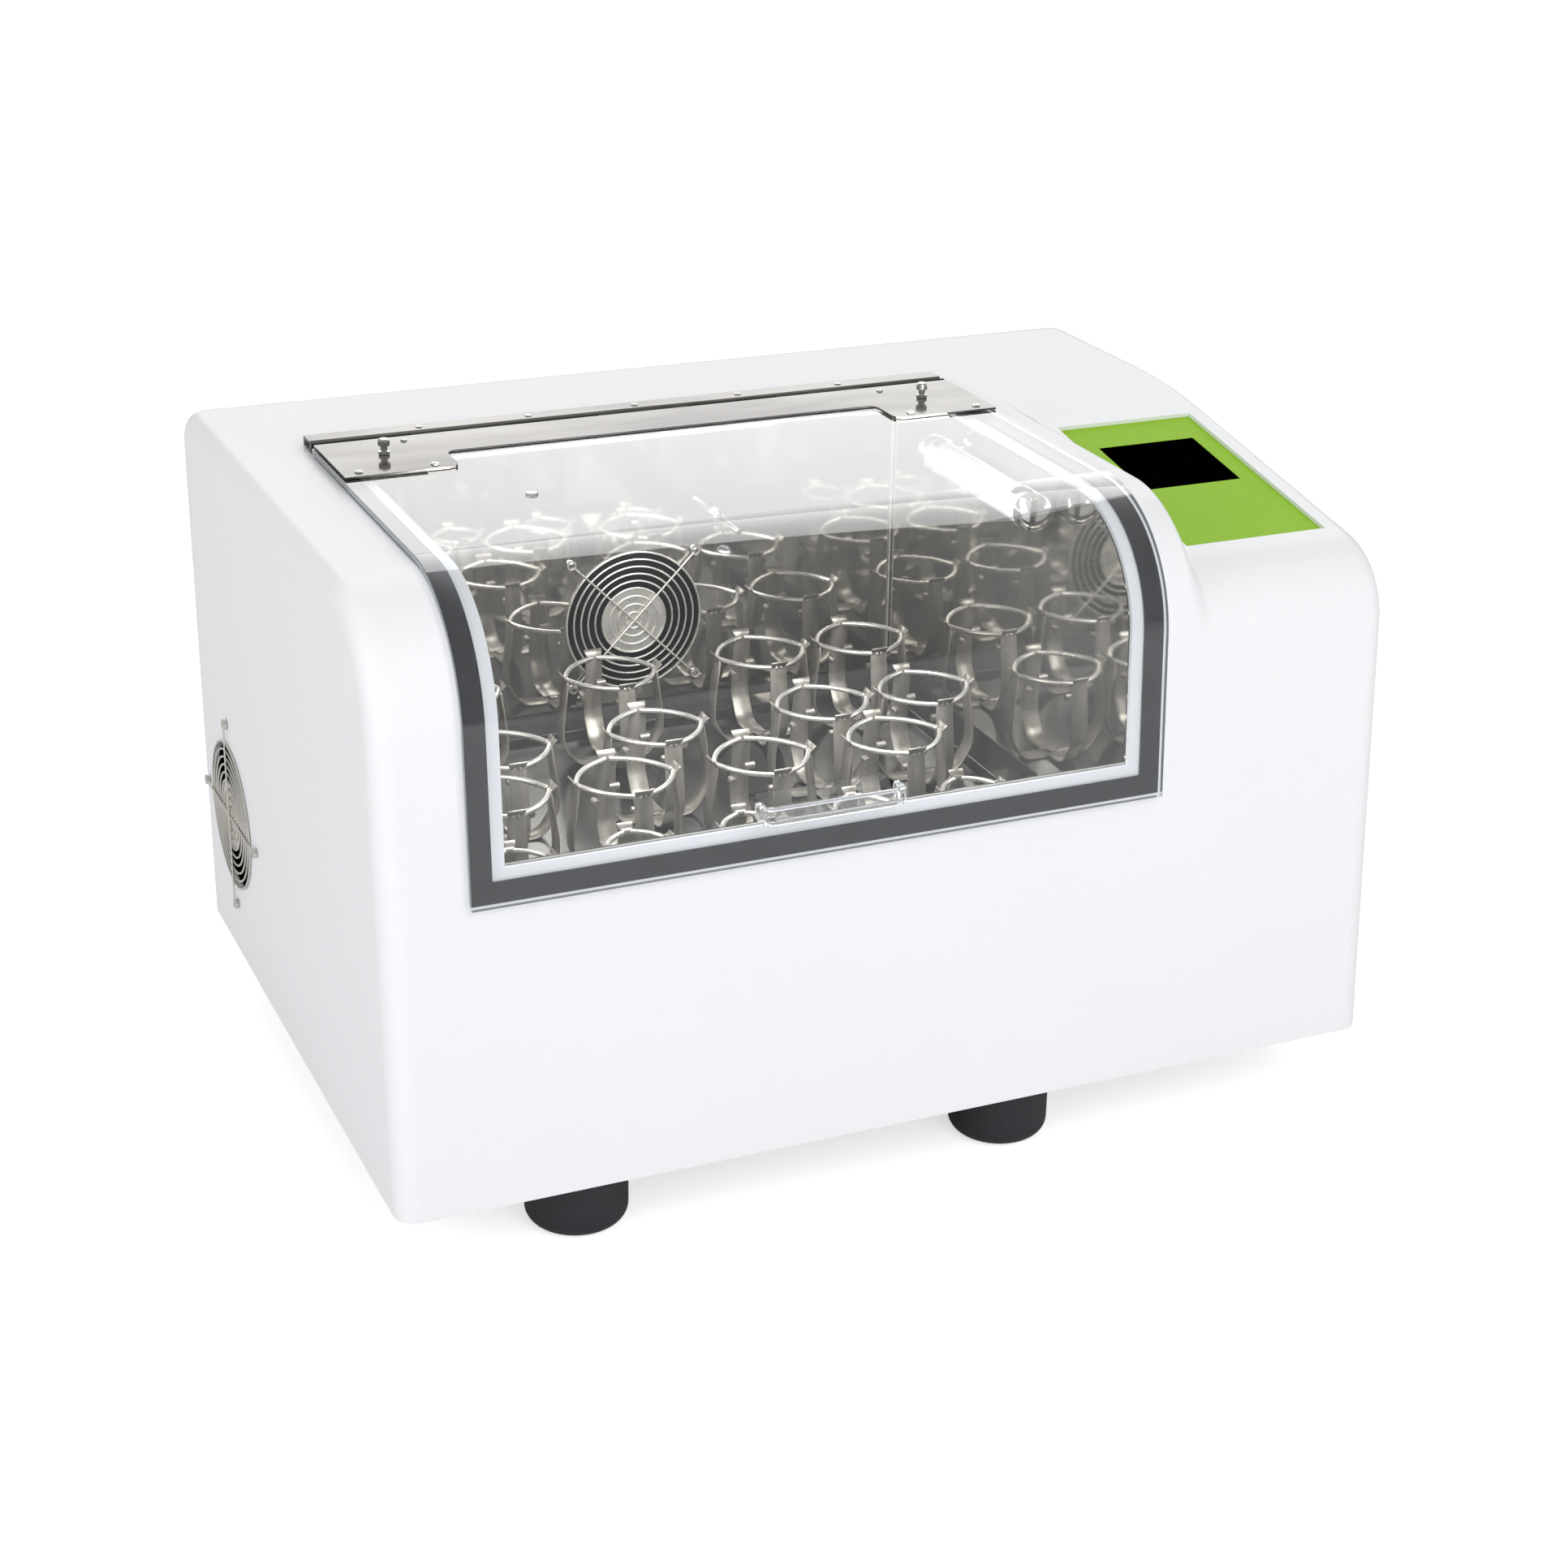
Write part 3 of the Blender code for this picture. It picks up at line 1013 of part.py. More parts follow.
def make_tray():
    """The tray and its carriage keep their heading while the crank pin carries them round."""
    orbit = add_empty("tray_axis", (DRIVE_X + ORBIT_R, DRIVE_Y, 0), CABINET)
    half_w, half_d = CARRIAGE_W / 2, CARRIAGE_D / 2
    top = CARRIAGE_Z + CARRIAGE_T
    middle_y = TRAY_Y - DRIVE_Y
    low = (-half_w, middle_y - half_d, CARRIAGE_Z - CARRIAGE_FLANGE)
    high = (half_w, middle_y + half_d, top)
    carriage = place(open_box("tray_carriage", low, high, TRAY_CORNER_R, -1), "tray_carriage", CAST, orbit)
    solidify(carriage, CARRIAGE_T)
    bosses = bmesh.new()
    bores = bmesh.new()
    spots = [(0, 0, CRANK_PIN_R)]
    spots += [(x - DRIVE_X, y - DRIVE_Y, IDLER_PIN_R) for _, x, y in idler_places()]
    low_z = CARRIAGE_Z - BOSS_H
    for x, y, pin_r in spots:
        height = BOSS_H + CARRIAGE_T / 2
        middle = Matrix.Translation((x, y, low_z + height / 2))
        bmesh.ops.create_cone(bosses, cap_ends=True, segments=16, radius1=BOSS_R, radius2=BOSS_R, depth=height,
                              matrix=middle)
        bmesh.ops.create_cone(bores, cap_ends=True, segments=16, radius1=pin_r + RUN, radius2=pin_r + RUN,
                              depth=40 * MM, matrix=middle)
    tool = place(mesh_of(bosses, "carriage_bosses"), "carriage_bosses", None, orbit, cutter=True)
    boolean(carriage, tool, "UNION")
    tool = place(mesh_of(bores, "carriage_bores"), "carriage_bores", None, orbit, cutter=True)
    boolean(carriage, tool)
    low, high = (-TRAY_W / 2, -TRAY_D / 2, TRAY_Z), (TRAY_W / 2, TRAY_D / 2, TRAY_Z + TRAY_RIM)
    at = (TRAY_X - DRIVE_X - ORBIT_R, middle_y, 0)
    tray = place(open_box("flask_tray", low, high, TRAY_CORNER_R, 1), "flask_tray", STEEL, orbit, at)
    solidify(tray, TRAY_T)
    return orbit


def strip_outline(size):
    """Two opposite clamp fingers and the web under them, as one bent strip seen from its side."""
    base, belly, mouth, height = size["base"], size["belly"], size["mouth"], size["height"]
    spine = [(base, 0), (belly, height * CLAMP_LOW), (belly, height * CLAMP_HIGH), (mouth, height - CLAMP_LIP),
             (mouth + CLAMP_LIP, height)]
    outer = [Vector(point) for point in [(-x, z) for x, z in spine[::-1]] + spine]
    inner = []
    for index, point in enumerate(outer):
        ahead = (outer[min(index + 1, len(outer) - 1)] - point).normalized()
        behind = (point - outer[max(index - 1, 0)]).normalized()
        first = Vector((-behind.y, behind.x)) if index else Vector((-ahead.y, ahead.x))
        second = Vector((-ahead.y, ahead.x)) if index < len(outer) - 1 else first
        mitre = (first + second).normalized()
        inner.append(point + mitre * CLAMP_T / mitre.dot(first))
    return [tuple(point) for point in outer + inner[::-1]]


def clamp_mesh(name, size):
    """A flask clamp: two crossed spring strips, and the ring spring round their four tops."""
    outline = strip_outline(size)
    strip = outline_mesh(name, outline, size["strip"], XZ, (0, 0, 0))
    clamp = place(strip, name, POLISHED)
    upper = outline_mesh(name + "_upper", outline, size["strip"], XZ, (0, 0, CLAMP_CROSS))
    turn = Matrix.Rotation(math.pi / 2, 4, "Z")
    boolean(clamp, place(upper, name + "_upper", None, turn=turn, cutter=True), "UNION")
    ring_z = size["height"] - CLAMP_LIP + CLAMP_CROSS / 2
    bm = bmesh.new()
    spin_ring(bm, wire_section(size["mouth"], ring_z, SPRING_R), (0, 0, 1), 12)
    bmesh.ops.recalc_face_normals(bm, faces=bm.faces)
    boolean(clamp, place(mesh_of(bm, name + "_ring"), name + "_ring", None, cutter=True), "UNION")
    bpy.context.view_layer.update()
    graph = bpy.context.evaluated_depsgraph_get()
    mesh = bpy.data.meshes.new_from_object(clamp.evaluated_get(graph))
    bpy.data.objects.remove(clamp, do_unlink=True)
    mesh.materials.clear()
    return mesh


def inside_rim(size, spots):
    """The places where a clamp of this size clears the tray's rim."""
    reach = size["base"] + (size["belly"] - size["base"]) * TRAY_RIM / (size["height"] * CLAMP_LOW)
    room_x = TRAY_W / 2 - TRAY_T - reach
    room_y = TRAY_D / 2 - TRAY_T - reach
    return [(x, y) for x, y in spots if abs(x - TRAY_X) < room_x and abs(y - TRAY_Y) < room_y]


def make_clamps(orbit):
    """Every clamp of one size shares one mesh."""
    pin = Vector((DRIVE_X + ORBIT_R, DRIVE_Y, 0))
    rows = [("small_clamp", SMALL_CLAMP, [(x, SMALL_CLAMP_Y) for x in SMALL_CLAMP_XS]),
            ("large_clamp", LARGE_CLAMP, [(x, y) for y, xs in LARGE_CLAMP_ROWS for x in xs])]
    for kind, size, spots in rows:
        mesh = clamp_mesh(kind, size)
        for number, (x, y) in enumerate(inside_rim(size, spots), 1):
            clamp = bpy.data.objects.new("%s_%02d" % (kind, number), mesh)
            PARTS.objects.link(clamp)
            clamp.parent = orbit
            clamp.location = Vector((x, y, TRAY_TOP + FIT)) - pin
        mesh.materials.append(POLISHED)


def make_electrics():
    """A supply on the base pan, and a rear module with the mains inlet and the rocker switch."""
    floor = 2 * FIT + PAN_T
    low = (SUPPLY_X - SUPPLY_W / 2, SUPPLY_Y - SUPPLY_D / 2, floor)
    high = (SUPPLY_X + SUPPLY_W / 2, SUPPLY_Y + SUPPLY_D / 2, floor + SUPPLY_H)
    place(box_between("power_supply", low, high), "power_supply", CAST)
    rear = CASE_D / 2
    at = (INLET_X, rear + FIT, INLET_Z)
    half_w, half_h = INLET_W / 2, INLET_H / 2
    top = SWITCH_Z - INLET_Z + SWITCH_H / 2 + INLET_WALL
    body = place(box_between("power_inlet", (-half_w, -INLET_DEPTH, -half_h), (half_w, 0, top)),
                 "power_inlet", BLACK, at=at)
    rim = INLET_FLANGE
    flange = box_between("inlet_flange", (-half_w - rim, 0, -half_h - rim),
                         (half_w + rim, INLET_FLANGE_T, top + rim))
    boolean(body, place(flange, "inlet_flange", None, at=at, cutter=True), "UNION")
    socket = box_between("socket_cutter", (-12 * MM, -16 * MM, -8 * MM), (12 * MM, 8 * MM, 8 * MM))
    boolean(body, place(socket, "socket_cutter", None, at=at, cutter=True))
    half_w, half_h = SWITCH_W / 2, SWITCH_H / 2
    lift = SWITCH_Z - INLET_Z
    well = box_between("well_cutter", (-half_w, -12 * MM, lift - half_h), (half_w, 8 * MM, lift + half_h))
    boolean(body, place(well, "well_cutter", None, at=at, cutter=True))
    half = half_w - RUN
    outline = [(-half, -2 * MM), (0, -8 * MM), (half, -2 * MM), (half, 0), (0, -1.3 * MM), (-half, 0)]
    rocker = outline_mesh("power_switch", outline, SWITCH_H - 2 * RUN, XY, (0, 0, 0))
    place(rocker, "power_switch", BLACK, at=(INLET_X, rear - 1 * MM, SWITCH_Z),
          turn=Matrix.Rotation(-SWITCH_TILT / 2, 4, "Z"))


def build():
    make_case()
    make_base()
    make_liner()
    make_gasket()
    lid = make_lid()
    make_hinge(lid)
    make_panel()
    make_fans()
    make_lamp()
    make_drive()
    make_clamps(make_tray())
    make_electrics()


build()
bpy.context.view_layer.update()
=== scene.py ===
import json
import math

import bmesh
import bpy
from mathutils import Matrix, Vector


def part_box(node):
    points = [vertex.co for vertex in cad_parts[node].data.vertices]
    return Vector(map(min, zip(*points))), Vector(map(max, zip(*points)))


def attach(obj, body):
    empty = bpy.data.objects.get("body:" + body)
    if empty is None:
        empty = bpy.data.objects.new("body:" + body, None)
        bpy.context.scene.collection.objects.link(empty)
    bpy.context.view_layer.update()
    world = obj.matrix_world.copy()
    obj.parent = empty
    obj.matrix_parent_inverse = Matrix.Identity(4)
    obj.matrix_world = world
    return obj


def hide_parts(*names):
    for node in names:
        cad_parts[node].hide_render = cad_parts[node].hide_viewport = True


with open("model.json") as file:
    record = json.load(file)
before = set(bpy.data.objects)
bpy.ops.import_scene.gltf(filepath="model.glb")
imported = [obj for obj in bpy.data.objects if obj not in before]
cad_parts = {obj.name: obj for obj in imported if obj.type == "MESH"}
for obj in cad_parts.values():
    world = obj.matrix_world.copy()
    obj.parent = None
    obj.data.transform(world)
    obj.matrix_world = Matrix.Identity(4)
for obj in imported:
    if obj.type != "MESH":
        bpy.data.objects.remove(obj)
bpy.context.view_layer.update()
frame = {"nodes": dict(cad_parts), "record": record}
print("frame loaded")

mm = 0.001
nodes = frame["nodes"]
bodyOf = {node: body for body, names in frame["record"]["behaviour"]["bodies"].items() for node in names}
shellLow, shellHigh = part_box("case_shell")
origin = Vector(((shellLow.x + shellHigh.x) / 2, (shellLow.y + shellHigh.y) / 2, shellLow.z))
lidLow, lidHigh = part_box("lid_window")
lidLeft, lidRight = lidLow.x - origin.x, lidHigh.x - origin.x

# the cabinet's outline, as the solids have it, with finer arcs
cabinet = {"width": shellHigh.x - shellLow.x, "depth": shellHigh.y - shellLow.y, "height": 413 * mm,
           "wall": 3 * mm, "lean": 0.057, "knee": 88 * mm, "rear": 28 * mm, "side": 15 * mm,
           "kneeSteps": 28, "rearSteps": 10,
           "sideSteps": 7, "wingSlope": math.radians(9.8), "breakY": 62 * mm, "breakRadius": 500 * mm,
           "wingKnee": 58 * mm, "flankX": 208 * mm, "flankWidth": 18 * mm, "flankSteps": 14}
opening = {"inset": 25 * mm, "bottom": 239 * mm, "rear": 66 * mm}


# small tools
def hexColour(text):
    channels = [int(text[i:i + 2], 16) / 255 for i in (1, 3, 5)]
    return tuple(c / 12.92 if c < 0.04045 else ((c + 0.055) / 1.055) ** 2.4 for c in channels) + (1.0,)


def addNode(tree, kind, values=None, links=None, **settings):
    node = tree.nodes.new(kind)
    for name, value in settings.items():
        setattr(node, name, value)
    for name, value in (values or {}).items():
        node.inputs[name].default_value = value
    for name, source in (links or {}).items():
        tree.links.new(source, node.inputs[name])
    return node


def newMaterial(name, values):
    material = bpy.data.materials.new(name)
    material.use_nodes = True
    shader = material.node_tree.nodes["Principled BSDF"]
    for socket, value in values.items():
        shader.inputs[socket].default_value = hexColour(value) if isinstance(value, str) else value
    return material, material.node_tree, shader


def grained(name, values, grain, depth, rough=None, stretch=(1, 1, 1), mottle=None, detail=3):
    # grain is the pattern's size, depth its height, rough the least and most roughness,
    # mottle the two hex colours that the surface drifts between
    material, tree, shader = newMaterial(name, values)
    place = addNode(tree, "ShaderNodeTexCoord")
    scaled = addNode(tree, "ShaderNodeMapping", {"Scale": stretch}, {"Vector": place.outputs["Object"]})
    fine = addNode(tree, "ShaderNodeTexNoise", {"Scale": 1 / grain, "Detail": detail, "Roughness": 0.55},
                   {"Vector": scaled.outputs["Vector"]})
    bump = addNode(tree, "ShaderNodeBump", {"Strength": 0.6, "Distance": depth},
                   {"Height": fine.outputs["Fac"]})
    tree.links.new(bump.outputs["Normal"], shader.inputs["Normal"])
    if rough or mottle:
        broad = addNode(tree, "ShaderNodeTexNoise", {"Scale": 1 / (grain * 14), "Detail": 4.0},
                        {"Vector": scaled.outputs["Vector"]})
    if rough:
        spread = addNode(tree, "ShaderNodeMapRange", {"From Min": 0.3, "From Max": 0.7, "To Min": rough[0],
                         "To Max": rough[1]}, {"Value": broad.outputs["Fac"]})
        tree.links.new(spread.outputs["Result"], shader.inputs["Roughness"])
    if mottle:
        ramp = addNode(tree, "ShaderNodeValToRGB", links={"Fac": broad.outputs["Fac"]})
        ramp.color_ramp.elements[0].position = 0.35
        ramp.color_ramp.elements[1].position = 0.65
        ramp.color_ramp.elements[0].color = hexColour(mottle[0])
        ramp.color_ramp.elements[1].color = hexColour(mottle[1])
        tree.links.new(ramp.outputs["Color"], shader.inputs["Base Color"])
    return material


# finishes
# moulded white ABS, high gloss, with a faint orange peel from the mould
glossyWhite = grained("glossyWhite", {"Base Color": "#EFF0F2", "IOR": 1.46, "Roughness": 0.3,
                                      "Specular IOR Level": 0.2}, 9 * mm, 0.002 * mm,
                     mottle=("#EFF0F2", "#F0F1F3"))
# electropolished stainless sheet of the hinge, nearly a mirror, with drawing lines along it
polishedSteel = grained("polishedSteel", {"Base Color": "#D6D4D0", "Metallic": 1.0, "Roughness": 0.14},
                        0.8 * mm, 0.004 * mm, (0.10, 0.2), (0.06, 1, 1), ("#CFCDC9", "#DCDAD6"))
# the hinge's leaves are the same sheet, with its colour darkened as painted shade so the mirrored softbox
# doesn't wash them out
leafSteel = grained("leafSteel", {"Base Color": "#827F7C", "Metallic": 1.0, "Roughness": 0.1}, 4 * mm,
                    0.003 * mm, (0.07, 0.14), (0.3, 1, 1), ("#6F6C69", "#94918D"))
# painted shade: the barrel between the leaves is coloured near black for the shade in the gap, so the eye
# reads it as one dark gap
paintedShadeSteel = grained("paintedShadeSteel", {"Base Color": "#0C0C0D", "IOR": 1.4, "Roughness": 0.6,
                                      "Specular IOR Level": 0.1}, 0.8 * mm, 0.01 * mm, (0.5, 0.7),
                      mottle=("#0A0A0B", "#121214"))
# mirror-finished stainless liner, slightly wavy where the sheet is folded
linerSteel = grained("linerSteel", {"Base Color": "#CBC9C4", "Metallic": 0.92, "Roughness": 0.04}, 60 * mm,
                     0.12 * mm, (0.025, 0.06), (1, 1, 1), ("#C2C0BB", "#D3D1CD"), 1)
# the tray is the same sheet, rougher, with its colour darkened as painted shade for the dark reflections on
# the chamber's floor
traySteel = grained("traySteel", {"Base Color": "#5C5B5A", "Metallic": 1.0, "Roughness": 0.2}, 8 * mm,
                    0.03 * mm, (0.16, 0.3), (0.3, 1, 1), ("#525150", "#666563"))
# cold-rolled spring strip of the clamps, warm grey with rolling lines
stripSteel = grained("stripSteel", {"Base Color": "#98948B", "Metallic": 0.7, "Roughness": 0.36}, 0.6 * mm,
                     0.006 * mm, (0.3, 0.42), (1, 1, 0.08), ("#8C887F", "#A5A098"))
# bright drawn spring wire
wireSteel = grained("wireSteel", {"Base Color": "#D6D3CC", "Metallic": 0.75, "Roughness": 0.3}, 0.5 * mm,
                    0.01 * mm, (0.24, 0.36))
# extruded EPDM seal, satin charcoal
sealRubber = grained("sealRubber", {"Base Color": "#26272B", "IOR": 1.52, "Roughness": 0.42}, 0.5 * mm,
                     0.02 * mm, (0.34, 0.5), mottle=("#222327", "#2B2D32"))
# moulded rubber of the feet, a little dusty
footRubber = grained("footRubber", {"Base Color": "#212327", "IOR": 1.52, "Roughness": 0.55}, 0.6 * mm,
                     0.03 * mm, (0.45, 0.62), mottle=("#1E2024", "#27292D"))
# green polyester overlay, satin, with the fine tooth of its printed side
greenFilm = grained("greenFilm", {"Base Color": "#97C636", "IOR": 1.5, "Roughness": 0.45,
                                  "Specular IOR Level": 0.04}, 0.5 * mm, 0.01 * mm, (0.4, 0.5),
                    mottle=("#95C432", "#99C83A"))
# black cover glass of the screen
screenGlass = grained("screenGlass", {"Base Color": "#010101", "IOR": 1.04, "Roughness": 0.06,
                                      "Specular IOR Level": 0.0}, 4 * mm, 0.001 * mm, (0.05, 0.09))
# glass-filled black nylon of the fans and the mains inlet
blackNylon = grained("blackNylon", {"Base Color": "#141517", "IOR": 1.53, "Roughness": 0.5}, 0.6 * mm,
                     0.02 * mm, (0.4, 0.6), mottle=("#101113", "#1A1B1E"))
# painted shade: the same nylon, darkened for the fans deep behind the guards, where next to no light falls
paintedShadeNylon = grained("paintedShadeNylon", {"Base Color": "#060607", "IOR": 1.3, "Roughness": 0.6,
                                      "Specular IOR Level": 0.1}, 0.6 * mm, 0.02 * mm, (0.5, 0.7),
                      mottle=("#050506", "#08080A"))
# opal lamp glass
opalGlass = grained("opalGlass", {"Base Color": "#A4A6A8", "IOR": 1.5, "Roughness": 0.22}, 5 * mm, 0.01 * mm,
                    (0.18, 0.28))
# sand-cast aluminium of the drive
castAluminium = grained("castAluminium", {"Base Color": "#8E9092", "Metallic": 1.0, "Roughness": 0.5},
                        0.9 * mm, 0.08 * mm, (0.42, 0.6), mottle=("#808284", "#9C9EA0"))
# zinc-plated steel of the pan and shafts
zincPlate = grained("zincPlate", {"Base Color": "#A6A9AC", "Metallic": 1.0, "Roughness": 0.35}, 6 * mm,
                    0.01 * mm, (0.28, 0.42), mottle=("#9A9DA1", "#B2B5B8"))


def clearSheet(name, tint, wave, depth):
    # polished cast acrylic: what lies behind shows through, and both faces of the sheet reflect,
    # with the soft waviness of a heat-bent sheet
    material = bpy.data.materials.new(name)
    material.use_nodes = True
    tree = material.node_tree
    tree.nodes.clear()
    place = addNode(tree, "ShaderNodeTexCoord")
    stretch = addNode(tree, "ShaderNodeMapping", {"Scale": (0.35, 1, 1)}, {"Vector": place.outputs["Object"]})
    waves = addNode(tree, "ShaderNodeTexNoise", {"Scale": 1 / wave, "Detail": 1.0},
                    {"Vector": stretch.outputs["Vector"]})
    bump = addNode(tree, "ShaderNodeBump", {"Strength": 0.5, "Distance": depth},
                   {"Height": waves.outputs["Fac"]})
    edge = addNode(tree, "ShaderNodeFresnel", {"IOR": 1.49}, {"Normal": bump.outputs["Normal"]})
    doubled = addNode(tree, "ShaderNodeMath", {1: 1.9}, {0: edge.outputs["Fac"]}, operation="MULTIPLY")
    side = addNode(tree, "ShaderNodeNewGeometry")
    front = addNode(tree, "ShaderNodeMath", {0: 1.0}, {1: side.outputs["Backfacing"]}, operation="SUBTRACT")
    share = addNode(tree, "ShaderNodeMath", links={0: doubled.outputs[0], 1: front.outputs[0]},
                    operation="MULTIPLY")
    through = addNode(tree, "ShaderNodeBsdfTransparent", {"Color": hexColour(tint)})
    shine = addNode(tree, "ShaderNodeBsdfGlossy", {"Color": (1, 1, 1, 1), "Roughness": 0.02},
                    {"Normal": bump.outputs["Normal"]})
    both = addNode(tree, "ShaderNodeMixShader",
                   links={0: share.outputs[0], 1: through.outputs[0], 2: shine.outputs[0]})
    addNode(tree, "ShaderNodeOutputMaterial", links={"Surface": both.outputs[0]})
    return material


clearAcrylic = clearSheet("clearAcrylic", "#FBFCFD", 130 * mm, 0.45 * mm)
# sawn and flame-polished edge of the sheet; its whitish colour is a painted highlight for the light the edge
# gathers
acrylicEdge = grained("acrylicEdge", {"Base Color": "#E4EAEE", "IOR": 1.49, "Roughness": 0.12,
                                      "Transmission Weight": 0.75}, 6 * mm, 0.02 * mm, (0.08, 0.18))
# heat-bent acrylic bar of the handle, clear with bright edges
bentAcrylic = grained("bentAcrylic", {"Base Color": "#F6F8F9", "IOR": 1.49, "Roughness": 0.05,
                                      "Transmission Weight": 0.95}, 9 * mm, 0.03 * mm, (0.03, 0.08))
print("finishes ready")


# mesh tools
broadFace = 0.0065  # square metres


def placePiece(bm, name, material, body, replaced=(), sharp=32):
    mesh = bpy.data.meshes.new(name)
    bm.normal_update()
    bm.to_mesh(mesh)
    bm.free()
    mesh.shade_smooth()
    mesh.set_sharp_from_angle(angle=math.radians(sharp))
    for face in mesh.polygons:
        face.use_smooth = face.area < broadFace  # broad sheet faces stay flat, so that they mirror truly
    piece = bpy.data.objects.new(name, mesh)
    bpy.context.scene.collection.objects.link(piece)
    mesh.materials.append(material)
    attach(piece, body)
    if replaced:
        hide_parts(*replaced)
    return piece


def looseObject(bm, name):
    mesh = bpy.data.meshes.new(name)
    bm.to_mesh(mesh)
    bm.free()
    loose = bpy.data.objects.new(name, mesh)
    bpy.context.scene.collection.objects.link(loose)
    return loose


def cutAway(bm, cutters):
    # takes each cutter out of the mesh and gives back one clean mesh
    target = looseObject(bm, "beingCut")
    for cutter in cutters:
        step = target.modifiers.new("cut", "BOOLEAN")
        step.operation = "DIFFERENCE"
        step.solver = "EXACT"
        step.object = cutter
    bpy.context.view_layer.update()
    done = target.evaluated_get(bpy.context.evaluated_depsgraph_get())
    result = bmesh.new()
    result.from_mesh(done.to_mesh())
    for loose in [target, *cutters]:
        bpy.data.objects.remove(loose, do_unlink=True)
    return result


def boxCutter(low, high, turn=None):
    bm = bmesh.new()
    bmesh.ops.create_cube(bm, size=1.0)
    bmesh.ops.scale(bm, vec=[h - l for l, h in zip(low, high)], verts=bm.verts)
    bmesh.ops.translate(bm, vec=[(h + l) / 2 for l, h in zip(low, high)], verts=bm.verts)
    if turn:
        bmesh.ops.transform(bm, matrix=turn, verts=bm.verts)
    return looseObject(bm, "boxCutter")


def drum(bm, radius, depth, place, steps=48):
    bmesh.ops.create_cone(bm, cap_ends=True, segments=steps, radius1=radius, radius2=radius, depth=depth,
                          matrix=place)


def arcPoints(centre, radius, start, end, steps):
    turns = [start + (end - start) * i / steps for i in range(steps + 1)]
    return [(centre[0] + radius * math.cos(a), centre[1] + radius * math.sin(a)) for a in turns]


def smoothCopy(node, material, name=None, sharp=35, bevelWidth=0.0):
    # a merged copy of a solid, shaded smooth, with its hard edges softened
    bm = bmesh.new()
    bm.from_mesh(nodes[node].data)
    bmesh.ops.remove_doubles(bm, verts=bm.verts, dist=0.01 * mm)
    bmesh.ops.dissolve_limit(bm, angle_limit=math.radians(0.6), verts=bm.verts, edges=bm.edges)
    piece = placePiece(bm, name or node + "_finish", material, bodyOf[node], (node,), sharp)
    if bevelWidth:
        soften(piece, bevelWidth, sharp)
    return piece


def soften(piece, width, sharp=35, segments=2):
    step = piece.modifiers.new("edges", "BEVEL")
    step.width = width
    step.segments = segments
    step.limit_method = "ANGLE"
    step.angle_limit = math.radians(sharp)
    step.harden_normals = False
    return piece


def spinSection(bm, section, axis, centre=(0, 0, 0), steps=48):
    verts = [bm.verts.new(point) for point in section]
    edges = [bm.edges.new(pair) for pair in zip(verts, verts[1:] + verts[:1])]
    bmesh.ops.spin(bm, geom=verts + edges, cent=centre, axis=axis, angle=2 * math.pi, steps=steps,
                   use_merge=True)


def addPart(bm, part, place=None):
    # joins a finished part into a larger mesh
    if place:
        bmesh.ops.transform(part, matrix=place, verts=part.verts)
    carrier = bpy.data.meshes.new("carrier")
    part.to_mesh(carrier)
    part.free()
    bm.from_mesh(carrier)
    bpy.data.meshes.remove(carrier)


def turnedShape(bm, profile, steps=64, place=None):
    # radius and height pairs from the axis round to the axis again
    part = bmesh.new()
    verts = [part.verts.new((r, 0, z)) for r, z in profile]
    edges = [part.edges.new(pair) for pair in zip(verts, verts[1:])]
    bmesh.ops.spin(part, geom=verts + edges, cent=(0, 0, 0), axis=(0, 0, 1), angle=2 * math.pi, steps=steps,
                   use_merge=True)
    bmesh.ops.remove_doubles(part, verts=part.verts, dist=0.001 * mm)
    bmesh.ops.recalc_face_normals(part, faces=part.faces)
    addPart(bm, part, place)


# cabinet outline
frontAngle = math.pi - math.atan(cabinet["lean"])
leanLength = math.sqrt(1 + cabinet["lean"] ** 2)


def frontY(z, proud=0.0):
    return -cabinet["depth"] / 2 + cabinet["lean"] * z - proud * leanLength


def kneeCentre():
    z = cabinet["height"] - cabinet["knee"]
    return frontY(z, -cabinet["knee"]), z


def bayPath(proud, zLow, yRear):
    knee = arcPoints(kneeCentre(), cabinet["knee"] + proud, frontAngle, math.pi / 2, cabinet["kneeSteps"])
    return [(frontY(zLow, proud), zLow)] + knee + [(yRear, cabinet["height"] + proud)]


def wingKneeCentre():
    slope, radius = cabinet["wingSlope"], cabinet["wingKnee"]
    z = cabinet["height"]
    for _ in range(40):
        y = frontY(z, -radius)
        z = cabinet["height"] - (cabinet["breakY"] - y) * math.tan(slope) - radius / math.cos(slope)
    return y, z


def cabinetSection(wing, inset):
    slope, height, half = cabinet["wingSlope"], cabinet["height"], cabinet["depth"] / 2
    crest = (cabinet["breakY"] + cabinet["breakRadius"] * math.tan(slope / 2),
             height - cabinet["breakRadius"])
    breakArc = arcPoints(crest, cabinet["breakRadius"], math.pi / 2 + slope, math.pi / 2, 8)
    rear = arcPoints((half - cabinet["rear"], height - cabinet["rear"]), cabinet["rear"], math.pi / 2, 0,
                     cabinet["rearSteps"])
    low, high = [(-half, 0.0)], [(half, 0.0)]
    steps = cabinet["kneeSteps"]
    bay = low + arcPoints(kneeCentre(), cabinet["knee"], frontAngle, math.pi / 2, steps)
    bay += [(y, height) for y, _ in breakArc] + rear + high
    side = low + arcPoints(wingKneeCentre(), cabinet["wingKnee"], frontAngle, math.pi / 2 + slope, steps)
    side += breakArc + rear + high
    points = [Vector(a).lerp(Vector(b), wing) for a, b in zip(bay, side)]
    moved = []
    for i, point in enumerate(points):
        along = (points[min(i + 1, len(points) - 1)] - points[max(i - 1, 0)]).normalized()
        moved.append(point + Vector((along.y, -along.x)) * inset)
    moved[0].y = 0.0
    moved[-1].y = 0.0
    return moved


